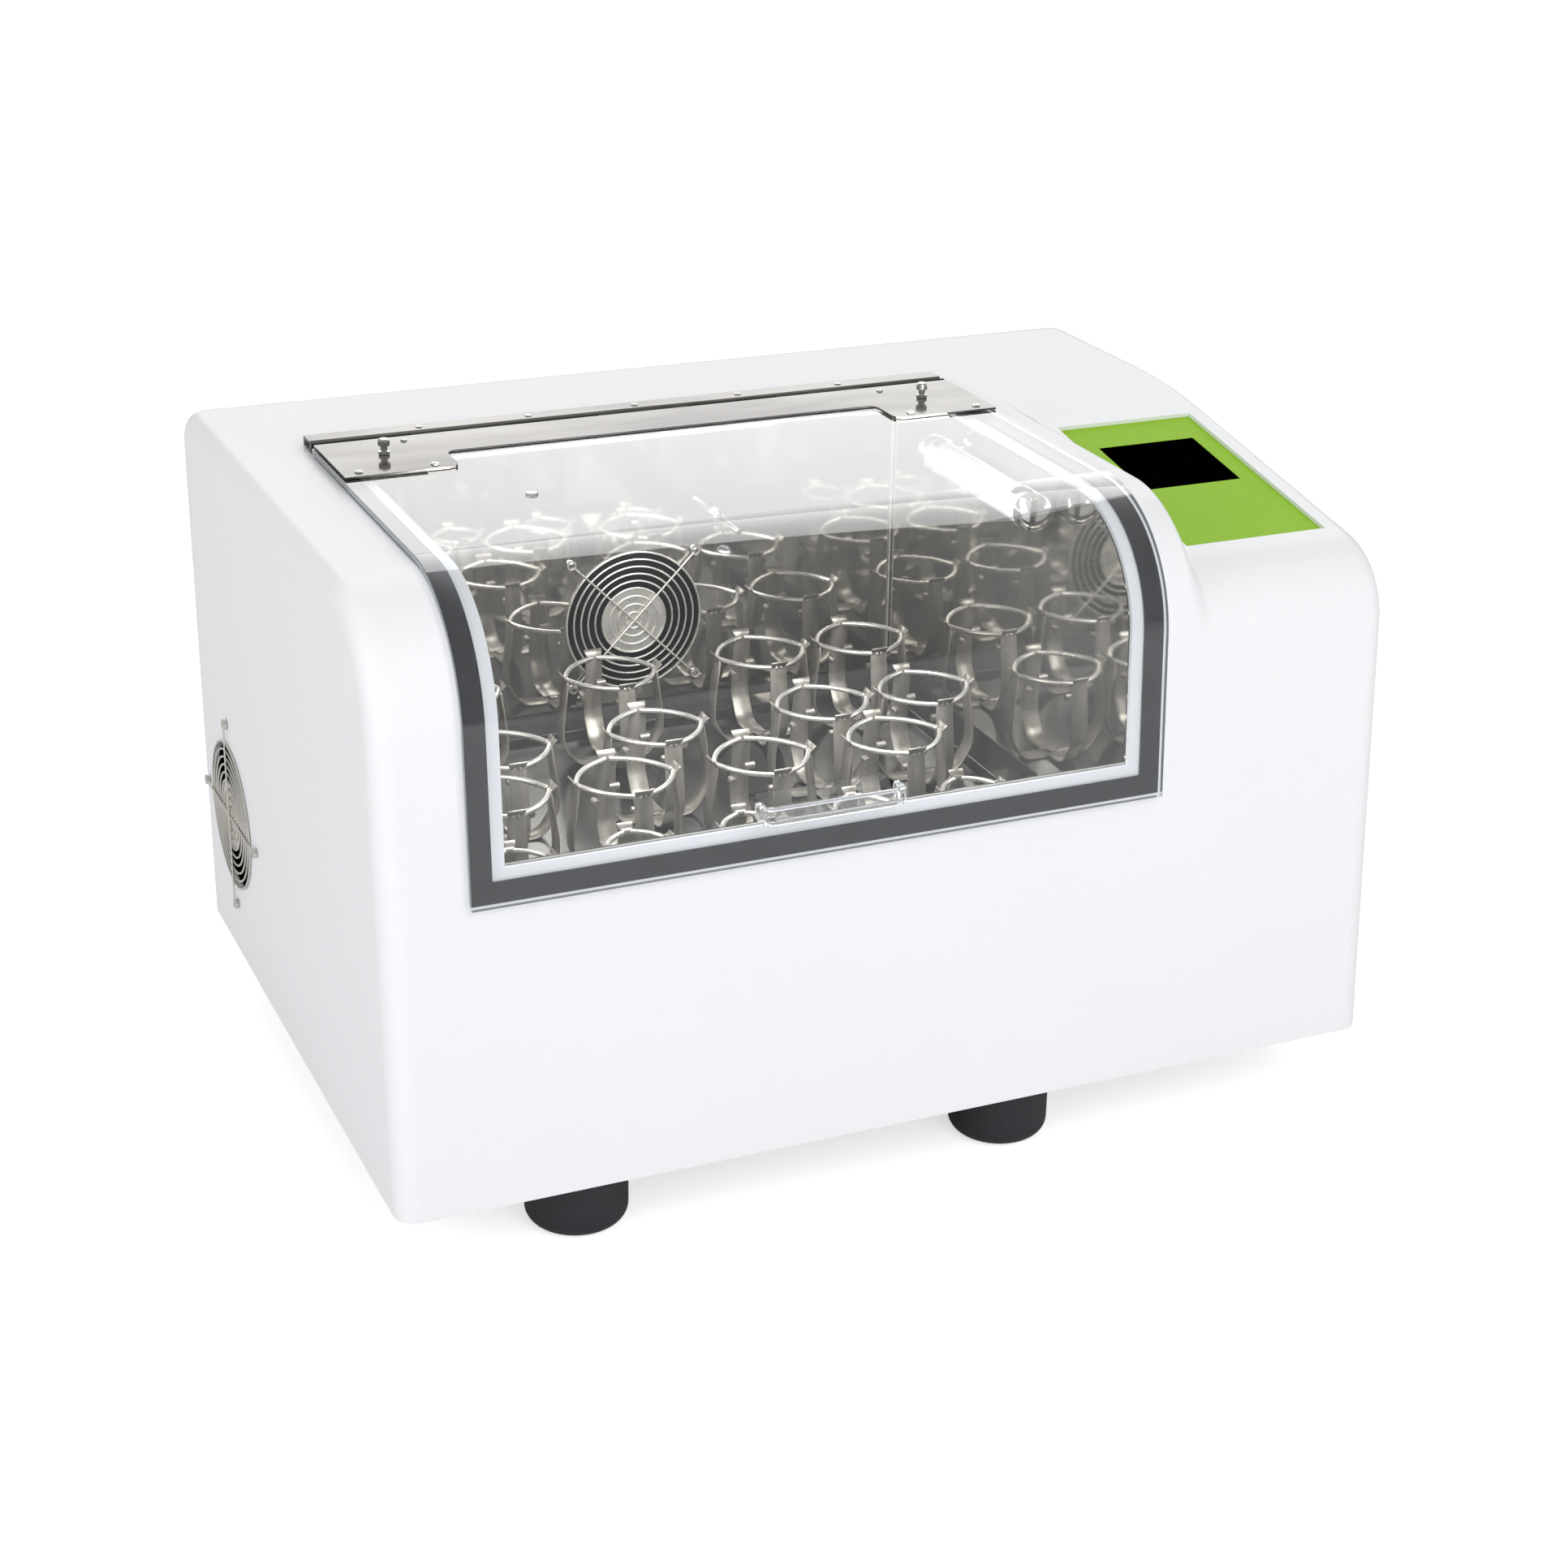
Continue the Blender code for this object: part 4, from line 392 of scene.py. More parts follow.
def cabinetStations():
    side, half, steps = cabinet["side"], cabinet["width"] / 2, cabinet["sideSteps"]
    turns = [math.pi / 2 * i / steps for i in range(steps + 1)]
    for turn in reversed(turns):
        yield -half + side * (1 - math.sin(turn)), 0.0, side * (1 - math.cos(turn))
    for i in range(cabinet["flankSteps"] + 1):
        share = i / cabinet["flankSteps"]
        blend = share * share * (3 - 2 * share)
        yield cabinet["flankX"] + cabinet["flankWidth"] * share, blend, 0.0
    for turn in turns:
        yield half - side * (1 - math.sin(turn)), 1.0, side * (1 - math.cos(turn))


def baySheet(x0, x1, proud, zLow, yRear, columns=()):
    # a sheet along the bay's outline, from x0 to x1, with a row of edges at each column
    bm = bmesh.new()
    points = bayPath(proud, zLow, yRear)
    row = [bm.verts.new(origin + Vector((x0, y, z))) for y, z in points]
    edges = [bm.edges.new(pair) for pair in zip(row, row[1:])]
    last = x0
    for x in [*columns, x1]:
        made = bmesh.ops.extrude_edge_only(bm, edges=edges)["geom"]
        side = [v for v in made if isinstance(v, bmesh.types.BMVert)]
        bmesh.ops.translate(bm, vec=(x - last, 0, 0), verts=side)
        edges = [e for e in made if isinstance(e, bmesh.types.BMEdge)]
        last = x
    bmesh.ops.recalc_face_normals(bm, faces=bm.faces)
    if sum((face.normal.z for face in bm.faces)) < 0:
        bmesh.ops.reverse_faces(bm, faces=bm.faces)
    return bm


def wingFrame(depth=0.0):
    slope, top = cabinet["wingSlope"], 3 * mm
    point = Vector((0, top, cabinet["height"] - (cabinet["breakY"] - top) * math.tan(slope)))
    normal = Vector((0, -math.sin(slope), math.cos(slope)))
    return Matrix.Translation(origin + point - normal * depth) @ Matrix.Rotation(slope, 4, "X")


def buildCabinet():
    bm = bmesh.new()
    rows = []
    for x, wing, inset in cabinetStations():
        rows.append([bm.verts.new(origin + Vector((x, y, z))) for y, z in cabinetSection(wing, inset)])
    chains = [[bm.edges.new(pair) for pair in zip(row, row[1:])] for row in rows]
    for first, second in zip(chains, chains[1:]):
        bmesh.ops.bridge_loops(bm, edges=first + second)
    bm.faces.new(rows[0])
    bm.faces.new(rows[-1])
    bmesh.ops.recalc_face_normals(bm, faces=bm.faces)
    if max(bm.faces, key=lambda face: face.calc_center_median().z).normal.z < 0:
        bmesh.ops.reverse_faces(bm, faces=bm.faces)
    shell = looseObject(bm, "shellWall")
    wall = shell.modifiers.new("wall", "SOLIDIFY")
    wall.thickness = cabinet["wall"]
    wall.offset = -1
    wall.use_even_offset = True
    bpy.context.view_layer.update()
    thick = bmesh.new()
    thick.from_mesh(shell.evaluated_get(bpy.context.evaluated_depsgraph_get()).to_mesh())
    bpy.data.objects.remove(shell, do_unlink=True)
    result = cutAway(thick, cabinetCutters())
    return placePiece(result, "cabinetShell", glossyWhite, "cabinet", ("case_shell",), 28)


def cabinetCutters():
    left, right = lidLeft + opening["inset"], lidRight - opening["inset"]
    bay = baySheet(left, right, 20 * mm, opening["bottom"], opening["rear"])
    bmesh.ops.solidify(bay, geom=list(bay.faces), thickness=60 * mm)
    bmesh.ops.recalc_face_normals(bay, faces=bay.faces)
    panelLow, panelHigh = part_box("control_panel")
    lap = 4 * mm
    window = boxCutter((panelLow.x - origin.x + lap, -195 * mm, -15 * mm),
                       (panelHigh.x - origin.x - lap, 0, 15 * mm), wingFrame())
    fanLow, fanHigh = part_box("vent_fan_frame")
    middle = (fanLow + fanHigh) / 2
    hole = bmesh.new()
    turn = Matrix.Translation((shellLow.x, middle.y, middle.z)) @ Matrix.Rotation(math.pi / 2, 4, "Y")
    drum(hole, 56.5 * mm, 40 * mm, turn, 72)
    cutters = [looseObject(bay, "bayCutter"), window, looseObject(hole, "holeCutter")]
    return cutters + rearCutters()


def rearCutters():
    inletLow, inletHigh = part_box("power_inlet")
    lap, gap = 5 * mm, 0.3 * mm
    rear = shellHigh.y
    made = [boxCutter((inletLow.x + lap - gap, rear - 10 * mm, inletLow.z + lap - gap),
                      (inletHigh.x - lap + gap, rear + 10 * mm, inletHigh.z - lap + gap))]
    middle = (inletLow.x + inletHigh.x) / 2
    for slot in range(8):
        z = origin.z + (160 + slot * 11) * mm
        made.append(boxCutter((middle - 30 * mm, rear - 10 * mm, z - 2 * mm),
                              (middle + 30 * mm, rear + 10 * mm, z + 2 * mm)))
    return made


buildCabinet()
print("cabinet built")

# lid
lid = {"bottom": 214 * mm, "rear": 91 * mm, "lift": 2.6 * mm, "thick": 4 * mm, "sealInset": 1.2 * mm,
       "sealWidth": 14.8 * mm, "sealThick": 2 * mm, "gap": 0.3 * mm}
# a bumper's place is its x, then its y on the flat top or its angle down the knee
bumper = {"radius": 4.5 * mm, "height": 2.2 * mm, "flat": (-203 * mm, -64 * mm),
          "knee": (-118 * mm, math.radians(25))}


def buildSeal():
    inset, width = lid["sealInset"], lid["sealWidth"]
    x0, x1 = lidLeft + inset, lidRight - inset
    low, rear = lid["bottom"] + inset, lid["rear"] - inset
    bm = baySheet(x0, x1, lid["gap"] + lid["sealThick"], low, rear, (x0 + width, x1 - width))
    bmesh.ops.bisect_plane(bm, geom=bm.faces[:] + bm.edges[:] + bm.verts[:],
                           plane_co=origin + Vector((0, 0, low + width)), plane_no=(0, 0, 1))
    bmesh.ops.bisect_plane(bm, geom=bm.faces[:] + bm.edges[:] + bm.verts[:],
                           plane_co=origin + Vector((0, rear - width, 0)), plane_no=(0, 1, 0))
    inner = []
    for face in bm.faces:
        middle = face.calc_center_median() - origin
        if x0 + width < middle.x < x1 - width and middle.z > low + width and middle.y < rear - width:
            inner.append(face)
    bmesh.ops.delete(bm, geom=inner, context="FACES")
    piece = placePiece(bm, "lidSeal", sealRubber, "cabinet", ("lid_gasket",), 30)
    wall = piece.modifiers.new("thickness", "SOLIDIFY")
    wall.thickness = lid["sealThick"]
    wall.offset = -1
    return soften(piece, 0.6 * mm, 40)


def buildPane():
    bm = baySheet(lidLeft, lidRight, lid["lift"] + lid["thick"], lid["bottom"], lid["rear"])
    piece = placePiece(bm, "lidPane", clearAcrylic, "lid", ("lid_window",), 30)
    wall = piece.modifiers.new("thickness", "SOLIDIFY")
    wall.thickness = lid["thick"]
    wall.offset = -1
    wall.material_offset_rim = 1
    piece.data.materials.append(acrylicEdge)
    return soften(piece, 0.5 * mm, 40)


def buildBumpers():
    # small clear buttons on the outside of the lid
    top = lid["lift"] + lid["thick"]
    x, y = bumper["flat"]
    places = [Matrix.Translation(origin + Vector((x, y, cabinet["height"] + top)))]
    x, turn = bumper["knee"]
    y, z = kneeCentre()
    reach = cabinet["knee"] + top
    middle = Vector((x, y - reach * math.sin(turn), z + reach * math.cos(turn)))
    places.append(Matrix.Translation(origin + middle) @ Matrix.Rotation(turn, 4, "X"))
    radius, height = bumper["radius"], bumper["height"]
    bm = bmesh.new()
    for place in places:
        turnedShape(bm, [(0, height), (radius * 0.6, height * 0.92), (radius * 0.9, height * 0.6),
                         (radius, 0), (0, 0)], 24, place)
    placePiece(bm, "lidBumpers", bentAcrylic, "lid", (), 40)


buildSeal()
buildPane()
buildBumpers()
smoothCopy("lid_handle", bentAcrylic, "lidHandle", 30, 1.6 * mm)
print("lid built")


# screws and nuts
def screwHead(bm, place, radius=3 * mm, height=1.6 * mm):
    # a pan head with a cross slot pressed into it
    profile = [(0, height)] + [(radius * math.sin(a), height * (0.35 + 0.65 * math.cos(a)))
                               for a in (0.5, 0.9, 1.25, 1.571)] + [(radius, 0), (0, 0)]
    turnedShape(bm, profile, 20, place)
    for turn in (0, math.pi / 2):
        bar = bmesh.ops.create_cube(bm, size=1.0)["verts"]
        bmesh.ops.scale(bm, vec=(radius * 1.1, radius * 0.16, 0.1 * mm), verts=bar)
        spin = place @ Matrix.Translation((0, 0, height)) @ Matrix.Rotation(turn + 0.4, 4, "Z")
        bmesh.ops.transform(bm, matrix=spin, verts=bar)


hingeLook = {"barrel": 4.6 * mm, "gap": 6.4 * mm, "depth": 18 * mm, "rise": 8 * mm, "sheet": 1.5 * mm}


def buildHinge():
    pinLow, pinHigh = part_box("hinge_pin")
    axis = (pinLow + pinHigh) / 2
    for node, name in (("hinge_fixed_leaf", "hingeFixedLeaf"), ("hinge_lid_leaf", "hingeLidLeaf"),
                       ("hinge_pin", "hingePin")):
        leaf = smoothCopy(node, leafSteel, name, 35, 0)
        # the second slot holds the painted shade over the barrel
        leaf.data.materials.append(paintedShadeSteel)
        paintBarrelShade(leaf, axis)
    buildRearStrip(axis)
    leafLow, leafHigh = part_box("hinge_lid_leaf")
    top = leafHigh.z
    bm = bmesh.new()
    near, low = 12 * mm, leafLow.y + 9 * mm
    for x in (leafLow.x + near, leafLow.x + 66 * mm, leafHigh.x - near, leafHigh.x - 66 * mm):
        screwHead(bm, Matrix.Translation((x, low, top)))
    for x in (leafLow.x + 62 * mm, leafHigh.x - 62 * mm):
        screwHead(bm, Matrix.Translation((x, leafHigh.y - 20 * mm, top)), 2.4 * mm)
    placePiece(bm, "leafScrews", polishedSteel, "lid", ())
    fixedLow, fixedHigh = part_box("hinge_fixed_leaf")
    bm = bmesh.new()
    step = (fixedHigh.x - fixedLow.x) / 6
    for i in range(1, 6):
        spot = (fixedLow.x + step * i, axis.y + hingeLook["gap"] + hingeLook["depth"] / 2,
                shellHigh.z + hingeLook["rise"])
        screwHead(bm, Matrix.Translation(spot), 2.6 * mm, 1.2 * mm)
    placePiece(bm, "fixedLeafScrews", polishedSteel, "cabinet", ())
    for side in ("left", "right"):
        buildThumbNut("thumb_nut_" + side, side)


def paintBarrelShade(leaf, axis):
    # painted shade: all of a leaf that lies over the pin takes the near-black colour of the shaded gap
    reach = hingeLook["barrel"]
    bm = bmesh.new()
    bm.from_mesh(leaf.data)
    for side in (-1, 1):
        bmesh.ops.bisect_plane(bm, geom=bm.faces[:] + bm.edges[:] + bm.verts[:],
                               plane_co=axis + Vector((0, side * reach, 0)), plane_no=(0, 1, 0))
    for face in bm.faces:
        if abs(face.calc_center_median().y - axis.y) < reach:
            face.material_index = 1
    bm.to_mesh(leaf.data)
    bm.free()


def buildRearStrip(axis):
    # a channel over the fixed leaf, level with the lid's leaf, so a dark gap shows between the two
    fixedLow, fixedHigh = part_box("hinge_fixed_leaf")
    y0, y1 = axis.y + hingeLook["gap"], axis.y + hingeLook["gap"] + hingeLook["depth"]
    z0, z1 = shellHigh.z + lid["gap"], shellHigh.z + hingeLook["rise"]
    bm = bmesh.new()
    bend = 1.5 * mm
    points = [(y0, z0), (y0, z1 - bend), (y0 + bend * 0.3, z1 - bend * 0.3), (y0 + bend, z1), (y1 - bend, z1),
              (y1 - bend * 0.3, z1 - bend * 0.3), (y1, z1 - bend), (y1, z0)]
    row = [bm.verts.new((fixedLow.x, y, z)) for y, z in points]
    edges = [bm.edges.new(pair) for pair in zip(row, row[1:])]
    made = bmesh.ops.extrude_edge_only(bm, edges=edges)["geom"]
    side = [v for v in made if isinstance(v, bmesh.types.BMVert)]
    bmesh.ops.translate(bm, vec=(fixedHigh.x - fixedLow.x, 0, 0), verts=side)
    bmesh.ops.recalc_face_normals(bm, faces=bm.faces)
    if max(bm.faces, key=lambda face: face.calc_center_median().z).normal.z < 0:
        bmesh.ops.reverse_faces(bm, faces=bm.faces)
    strip = placePiece(bm, "hingeRearStrip", leafSteel, "cabinet", (), 40)
    wall = strip.modifiers.new("thickness", "SOLIDIFY")
    wall.thickness = hingeLook["sheet"]
    wall.offset = -1


def buildThumbNut(node, side):
    low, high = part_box(node)
    middle, height = (low + high) / 2, high.z - low.z
    radius = (high.x - low.x) / 2
    bm = bmesh.new()
    profile = [(0, height), (radius * 0.75, height), (radius, height * 0.92), (radius, height * 0.56),
               (radius * 0.62, height * 0.5), (radius * 0.62, height * 0.24), (radius, height * 0.2),
               (radius, 0), (0, 0)]
    turnedShape(bm, profile, 28, Matrix.Translation((middle.x, middle.y, low.z)))
    ribs = 14
    for i in range(ribs):
        rib = bmesh.ops.create_cube(bm, size=1.0)["verts"]
        bmesh.ops.scale(bm, vec=(0.5 * mm, 0.6 * mm, height * 0.3), verts=rib)
        spin = (Matrix.Rotation(2 * math.pi * i / ribs, 4, "Z")
                @ Matrix.Translation((radius - 0.1 * mm, 0, height * 0.74)))
        bmesh.ops.transform(bm, matrix=Matrix.Translation((middle.x, middle.y, low.z)) @ spin, verts=rib)
    placePiece(bm, "thumbNut_" + side, polishedSteel, "lid", (node,))


buildHinge()
print("hinge built")

# feet
foot = {"edge": 11 * mm, "rim": 2 * mm, "steps": 72}


def buildFoot(node):
    low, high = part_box(node)
    middle, radius, height = (low + high) / 2, (high.x - low.x) / 2, high.z - low.z
    edge, rim = foot["edge"], foot["rim"]
    lower = arcPoints((radius - edge, edge), edge, 0, -math.pi / 2, 10)
    upper = arcPoints((radius - rim, height - rim), rim, math.pi / 2, 0, 4)
    bm = bmesh.new()
    turnedShape(bm, [(0, height)] + upper + lower + [(0, 0)], foot["steps"],
                Matrix.Translation((middle.x, middle.y, low.z)))
    placePiece(bm, node.replace("foot_", "rubberFoot_"), footRubber, "cabinet", (node,), 40)


for node in [name for name in nodes if name.startswith("foot_")]:
    buildFoot(node)
print("feet built")

# clamps
clampLook = {"thick": 1.3 * mm, "wireRadius": 2.1 * mm, "turnPitch": 1.8 * mm, "wireSides": 8,
             "lip": 5 * mm, "screwRadius": 3.5 * mm, "straight": 0.4, "hookRadius": 2.7 * mm}
clampSizes = {"large": {"base": 29 * mm, "belly": 42 * mm, "mouth": 36.5 * mm, "height": 76 * mm,
                        "strip": 15 * mm},
              "small": {"base": 20 * mm, "belly": 29 * mm, "mouth": 22 * mm, "height": 60 * mm,
                        "strip": 12 * mm}}


def fingerPath(size):
    base, belly, mouth, height = size["base"], size["belly"], size["mouth"], size["height"]
    corners = [Vector((4 * mm, 0)), Vector((base, 0)), Vector((belly - 0.7 * mm, height * 0.27)),
               Vector((belly - 0.7 * mm, height * 0.45)), Vector((mouth, height - clampLook["lip"])),
               Vector((mouth + clampLook["lip"] * 0.8, height))]
    path = [corners[0]]
    for before, corner, after in zip(corners, corners[1:], corners[2:]):
        reach = min((corner - before).length, (after - corner).length) * 0.38
        first = corner + (before - corner).normalized() * reach
        last = corner + (after - corner).normalized() * reach
        for i in range(5):
            t = i / 4
            path.append(first * (1 - t) ** 2 + corner * 2 * t * (1 - t) + last * t * t)
    return path + [corners[-1]]


def widthAt(size, share):
    # a strip is narrowest under the spring and flares again at its lip
    neck = 1 - 0.28 * math.exp(-((share - 0.86) / 0.09) ** 2)
    return size["strip"] * neck


def buildStrips(size):
    bm = bmesh.new()
    path = fingerPath(size)
    last = len(path) - 1
    for quarter in range(4):
        lift = clampLook["thick"] * (0.5 + (quarter % 2))
        turn = Matrix.Rotation(math.pi / 2 * quarter, 4, "Z")
        row = []
        for i, point in enumerate(path):
            half = widthAt(size, i / last) / 2
            row.append(bm.verts.new(turn @ Vector((point.x, -half, point.y + lift))))
        edges = [bm.edges.new(pair) for pair in zip(row, row[1:])]
        made = bmesh.ops.extrude_edge_only(bm, edges=edges)["geom"]
        side = [v for v in made if isinstance(v, bmesh.types.BMVert)]
        for vert in side:
            local = turn.inverted() @ vert.co
            local.y = -local.y
            vert.co = turn @ local
    bmesh.ops.recalc_face_normals(bm, faces=bm.faces)
    return bm


def springArc(bm, size, quarter):
    # a coil spring from one finger to the next, drawn as close ridges
    ring = size["mouth"] + 0.6 * mm
    clear = (size["strip"] * 0.36) / ring
    start, end = math.pi / 2 * quarter + clear * 0.2, math.pi / 2 * (quarter + 1) - clear * 0.2
    height = size["height"] - clampLook["lip"] + 1.2 * mm
    turns = max(8, int(ring * (end - start) / clampLook["turnPitch"]))
    circle = None
    for i in range(turns * 2 + 1):
        share = i / (turns * 2)
        angle = start + (end - start) * share
        radius = clampLook["wireRadius"] * (1.0 if i % 2 else 0.84)
        chord = math.cos(math.pi / 4) / math.cos(angle - math.pi / 2 * quarter - math.pi / 4)
        bulge = ring * (1 - clampLook["straight"] + clampLook["straight"] * chord)
        place = (Matrix.Rotation(angle, 4, "Z") @ Matrix.Translation((bulge, 0, height))
                 @ Matrix.Rotation(math.pi / 2, 4, "X"))
        made = bmesh.ops.create_circle(bm, cap_ends=False, segments=clampLook["wireSides"], radius=radius,
                                       matrix=place)
        edges = list({edge for vert in made["verts"] for edge in vert.link_edges})
        if circle:
            bmesh.ops.bridge_loops(bm, edges=circle + edges)
        else:
            bmesh.ops.contextual_create(bm, geom=edges)
        circle = edges
    bmesh.ops.contextual_create(bm, geom=circle)


def buildSprings(size):
    bm = bmesh.new()
    for quarter in range(4):
        springArc(bm, size, quarter)
    bmesh.ops.recalc_face_normals(bm, faces=bm.faces)
    return bm


def addHooks(bm, size, base):
    # the end of each finger is rolled round the spring
    height = size["height"] - clampLook["lip"] + 1.2 * mm
    for quarter in range(4):
        lie = Matrix.Translation((size["mouth"] + 0.6 * mm, 0, height)) @ Matrix.Rotation(math.pi / 2, 4, "X")
        place = Matrix.Translation(base) @ Matrix.Rotation(math.pi / 2 * quarter, 4, "Z") @ lie
        drum(bm, clampLook["hookRadius"], size["strip"] * 0.62, place, 14)


def buildClamps():
    shapes = {}
    for kind, size in clampSizes.items():
        shapes[kind] = (buildStrips(size), buildSprings(size))
    for node in sorted(name for name in nodes if "clamp_" in name):
        kind = node.split("_")[0]
        low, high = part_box(node)
        base = Vector(((low.x + high.x) / 2, (low.y + high.y) / 2, low.z))
        strips, springs = (shape.copy() for shape in shapes[kind])
        bmesh.ops.translate(strips, vec=base, verts=strips.verts)
        bmesh.ops.translate(springs, vec=base, verts=springs.verts)
        number = node.split("_")[-1]
        piece = placePiece(strips, kind + "ClampStrips_" + number, stripSteel, "tray", (node,),
                           50)
        wall = piece.modifiers.new("thickness", "SOLIDIFY")
        wall.thickness = clampLook["thick"]
        wall.offset = 0
        soften(piece, 0.25 * mm, 50, 1)
        placePiece(springs, kind + "ClampSprings_" + number, wireSteel, "tray", (), 60)
        fixings = bmesh.new()
        screwHead(fixings, Matrix.Translation(base + Vector((0, 0, clampLook["thick"] * 1.9))),
                  clampLook["screwRadius"])
        addHooks(fixings, size, base)
        placePiece(fixings, kind + "ClampFixings_" + number, stripSteel, "tray", ())
    for pair in shapes.values():
        for shape in pair:
            shape.free()


buildClamps()
print("clamps built")

# fan guards
# the arms' height is counted in wire radii over the fan's face
guardLook = {"rings": 5, "hubRings": 4, "wire": 0.85 * mm, "outer": 57 * mm, "hub": 27 * mm,
             "pitch": 105 * mm, "screw": 4 * mm, "eye": 3.2 * mm, "armHeight": 2.8}
# the dark disc behind the circulation fan is painted shade
shadeDiscLook = {"radius": 56.5 * mm, "thick": 1 * mm, "inset": 0.8 * mm}


def buildGuard(node, name, screwName, place):
    # rings under crossed wires, each wire bent into an eye at its screw, and a bright hub behind the middle
    bm = bmesh.new()
    wire, hub = guardLook["wire"], guardLook["hub"]
    outer, rings, hubRings = guardLook["outer"], guardLook["rings"], guardLook["hubRings"]
    radii = [hub + (outer - hub) * (ring + 1) / rings for ring in range(rings)]
    radii += [hub * (ring + 1) / hubRings for ring in range(hubRings)]
    for radius in radii:
        loop = bmesh.new()
        spinSection(loop, [(radius + wire * math.cos(a), 0, wire + wire * math.sin(a))
                           for a in (math.pi / 4 * i for i in range(8))], (0, 0, 1), steps=72)
        addPart(bm, loop)
    reach = guardLook["pitch"] / math.sqrt(2)
    for arm in range(4):
        turn = Matrix.Rotation(math.pi / 4 + arm * math.pi / 2, 4, "Z")
        lie = (Matrix.Translation((reach / 2, 0, guardLook["armHeight"] * wire))
               @ Matrix.Rotation(math.pi / 2, 4, "Y"))
        drum(bm, wire, reach, turn @ lie, 10)
        bend = bmesh.new()
        lift = guardLook["armHeight"] * wire
        spinSection(bend, [(guardLook["eye"] + wire * math.cos(a), 0, lift + wire * math.sin(a))
                           for a in (math.pi / 3 * i for i in range(6))], (0, 0, 1), steps=24)
        addPart(bm, bend, turn @ Matrix.Translation((reach, 0, 0)))
    drum(bm, hub, 0.4 * mm, Matrix.Translation((0, 0, 0.2 * mm)), 48)
    bmesh.ops.recalc_face_normals(bm, faces=bm.faces)
    bmesh.ops.transform(bm, matrix=place, verts=bm.verts)
    placePiece(bm, name, wireSteel, "cabinet", (node,), 40)
    screws = bmesh.new()
    for arm in range(4):
        turn = Matrix.Rotation(math.pi / 4 + arm * math.pi / 2, 4, "Z")
        screwHead(screws, place @ turn @ Matrix.Translation((reach, 0, 0.3 * wire)), guardLook["screw"],
                  3 * mm)
    placePiece(screws, screwName, polishedSteel, "cabinet", ())


def buildFans():
    low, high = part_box("air_fan_guard")
    middle = (low + high) / 2
    buildGuard("air_fan_guard", "airFanGuard", "airFanScrews",
               Matrix.Translation((middle.x, high.y, middle.z)) @ Matrix.Rotation(math.pi / 2, 4, "X"))
    low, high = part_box("vent_fan_guard")
    middle = (low + high) / 2
    buildGuard("vent_fan_guard", "ventFanGuard", "ventFanScrews",
               Matrix.Translation((high.x, middle.y, middle.z)) @ Matrix.Rotation(-math.pi / 2, 4, "Y")
               @ Matrix.Rotation(math.pi / 4, 4, "Z"))
    # painted shade: a dark disc put behind the circulation fan's guard, so that only black shows between the
    # rings
    low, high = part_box("air_fan_frame")
    middle, radius, thick = (low + high) / 2, shadeDiscLook["radius"], shadeDiscLook["thick"]
    bm = bmesh.new()
    turnedShape(bm, [(0, thick), (radius, thick), (radius, 0), (0, 0)], 64,
                Matrix.Translation((middle.x, high.y - shadeDiscLook["inset"], middle.z))
                @ Matrix.Rotation(math.pi / 2, 4, "X"))
    placePiece(bm, "airFanShadeDisc", paintedShadeNylon, "cabinet", (), 40)
    # the fans' frames and rotors take the same painted shade
    for node in ("air_fan_frame", "vent_fan_frame", "air_fan_rotor", "vent_fan_rotor"):
        smoothCopy(node, paintedShadeNylon, node + "Finish", 40, 0)


buildFans()
print("fans built")


# panel, lamp and the rest of what shows
def buildFittings():
    smoothCopy("control_panel", greenFilm, "panelOverlay", 30, 0.2 * mm)
    smoothCopy("touch_screen", screenGlass, "screenCover", 30, 0.3 * mm)
    smoothCopy("chamber_liner", linerSteel, "chamberLiner", 30, 0)
    smoothCopy("flask_tray", traySteel, "flaskTray", 30, 0.3 * mm)
    smoothCopy("lamp_clip_front", polishedSteel, "lampClipFront", 40, 0)
    smoothCopy("lamp_clip_rear", polishedSteel, "lampClipRear", 40, 0)
    smoothCopy("temperature_probe", polishedSteel, "temperatureProbe", 40, 0)
    smoothCopy("power_inlet", blackNylon, "mainsInlet", 30, 0.4 * mm)
    smoothCopy("power_switch", blackNylon, "rockerSwitch", 30, 0.3 * mm)
    smoothCopy("base_pan", zincPlate, "basePan", 30, 0)
    for node in ("tray_carriage", "drive_bearing_housing", "idler_housing_left", "idler_housing_right",
                 "drive_pulley", "motor_pulley", "power_supply"):
        smoothCopy(node, castAluminium, node + "Finish", 35, 0)
    for node in ("drive_shaft", "idler_crank_left", "idler_crank_right", "heater_element"):
        smoothCopy(node, zincPlate, node + "Finish", 35, 0)
    smoothCopy("drive_motor", blackNylon, "driveMotorFinish", 35, 0)
    smoothCopy("drive_belt", sealRubber, "driveBeltFinish", 35, 0)


# folded seam in the liner's rear right corner, which catches the light as one thin line
seam = {"x": 199 * mm, "y": 212 * mm, "radius": 0.9 * mm, "low": 150 * mm, "high": 404 * mm}


def buildSeam():
    bm = bmesh.new()
    middle = origin + Vector((seam["x"], seam["y"], (seam["low"] + seam["high"]) / 2))
    drum(bm, seam["radius"], seam["high"] - seam["low"], Matrix.Translation(middle), 16)
    placePiece(bm, "linerSeam", wireSteel, "cabinet", (), 60)


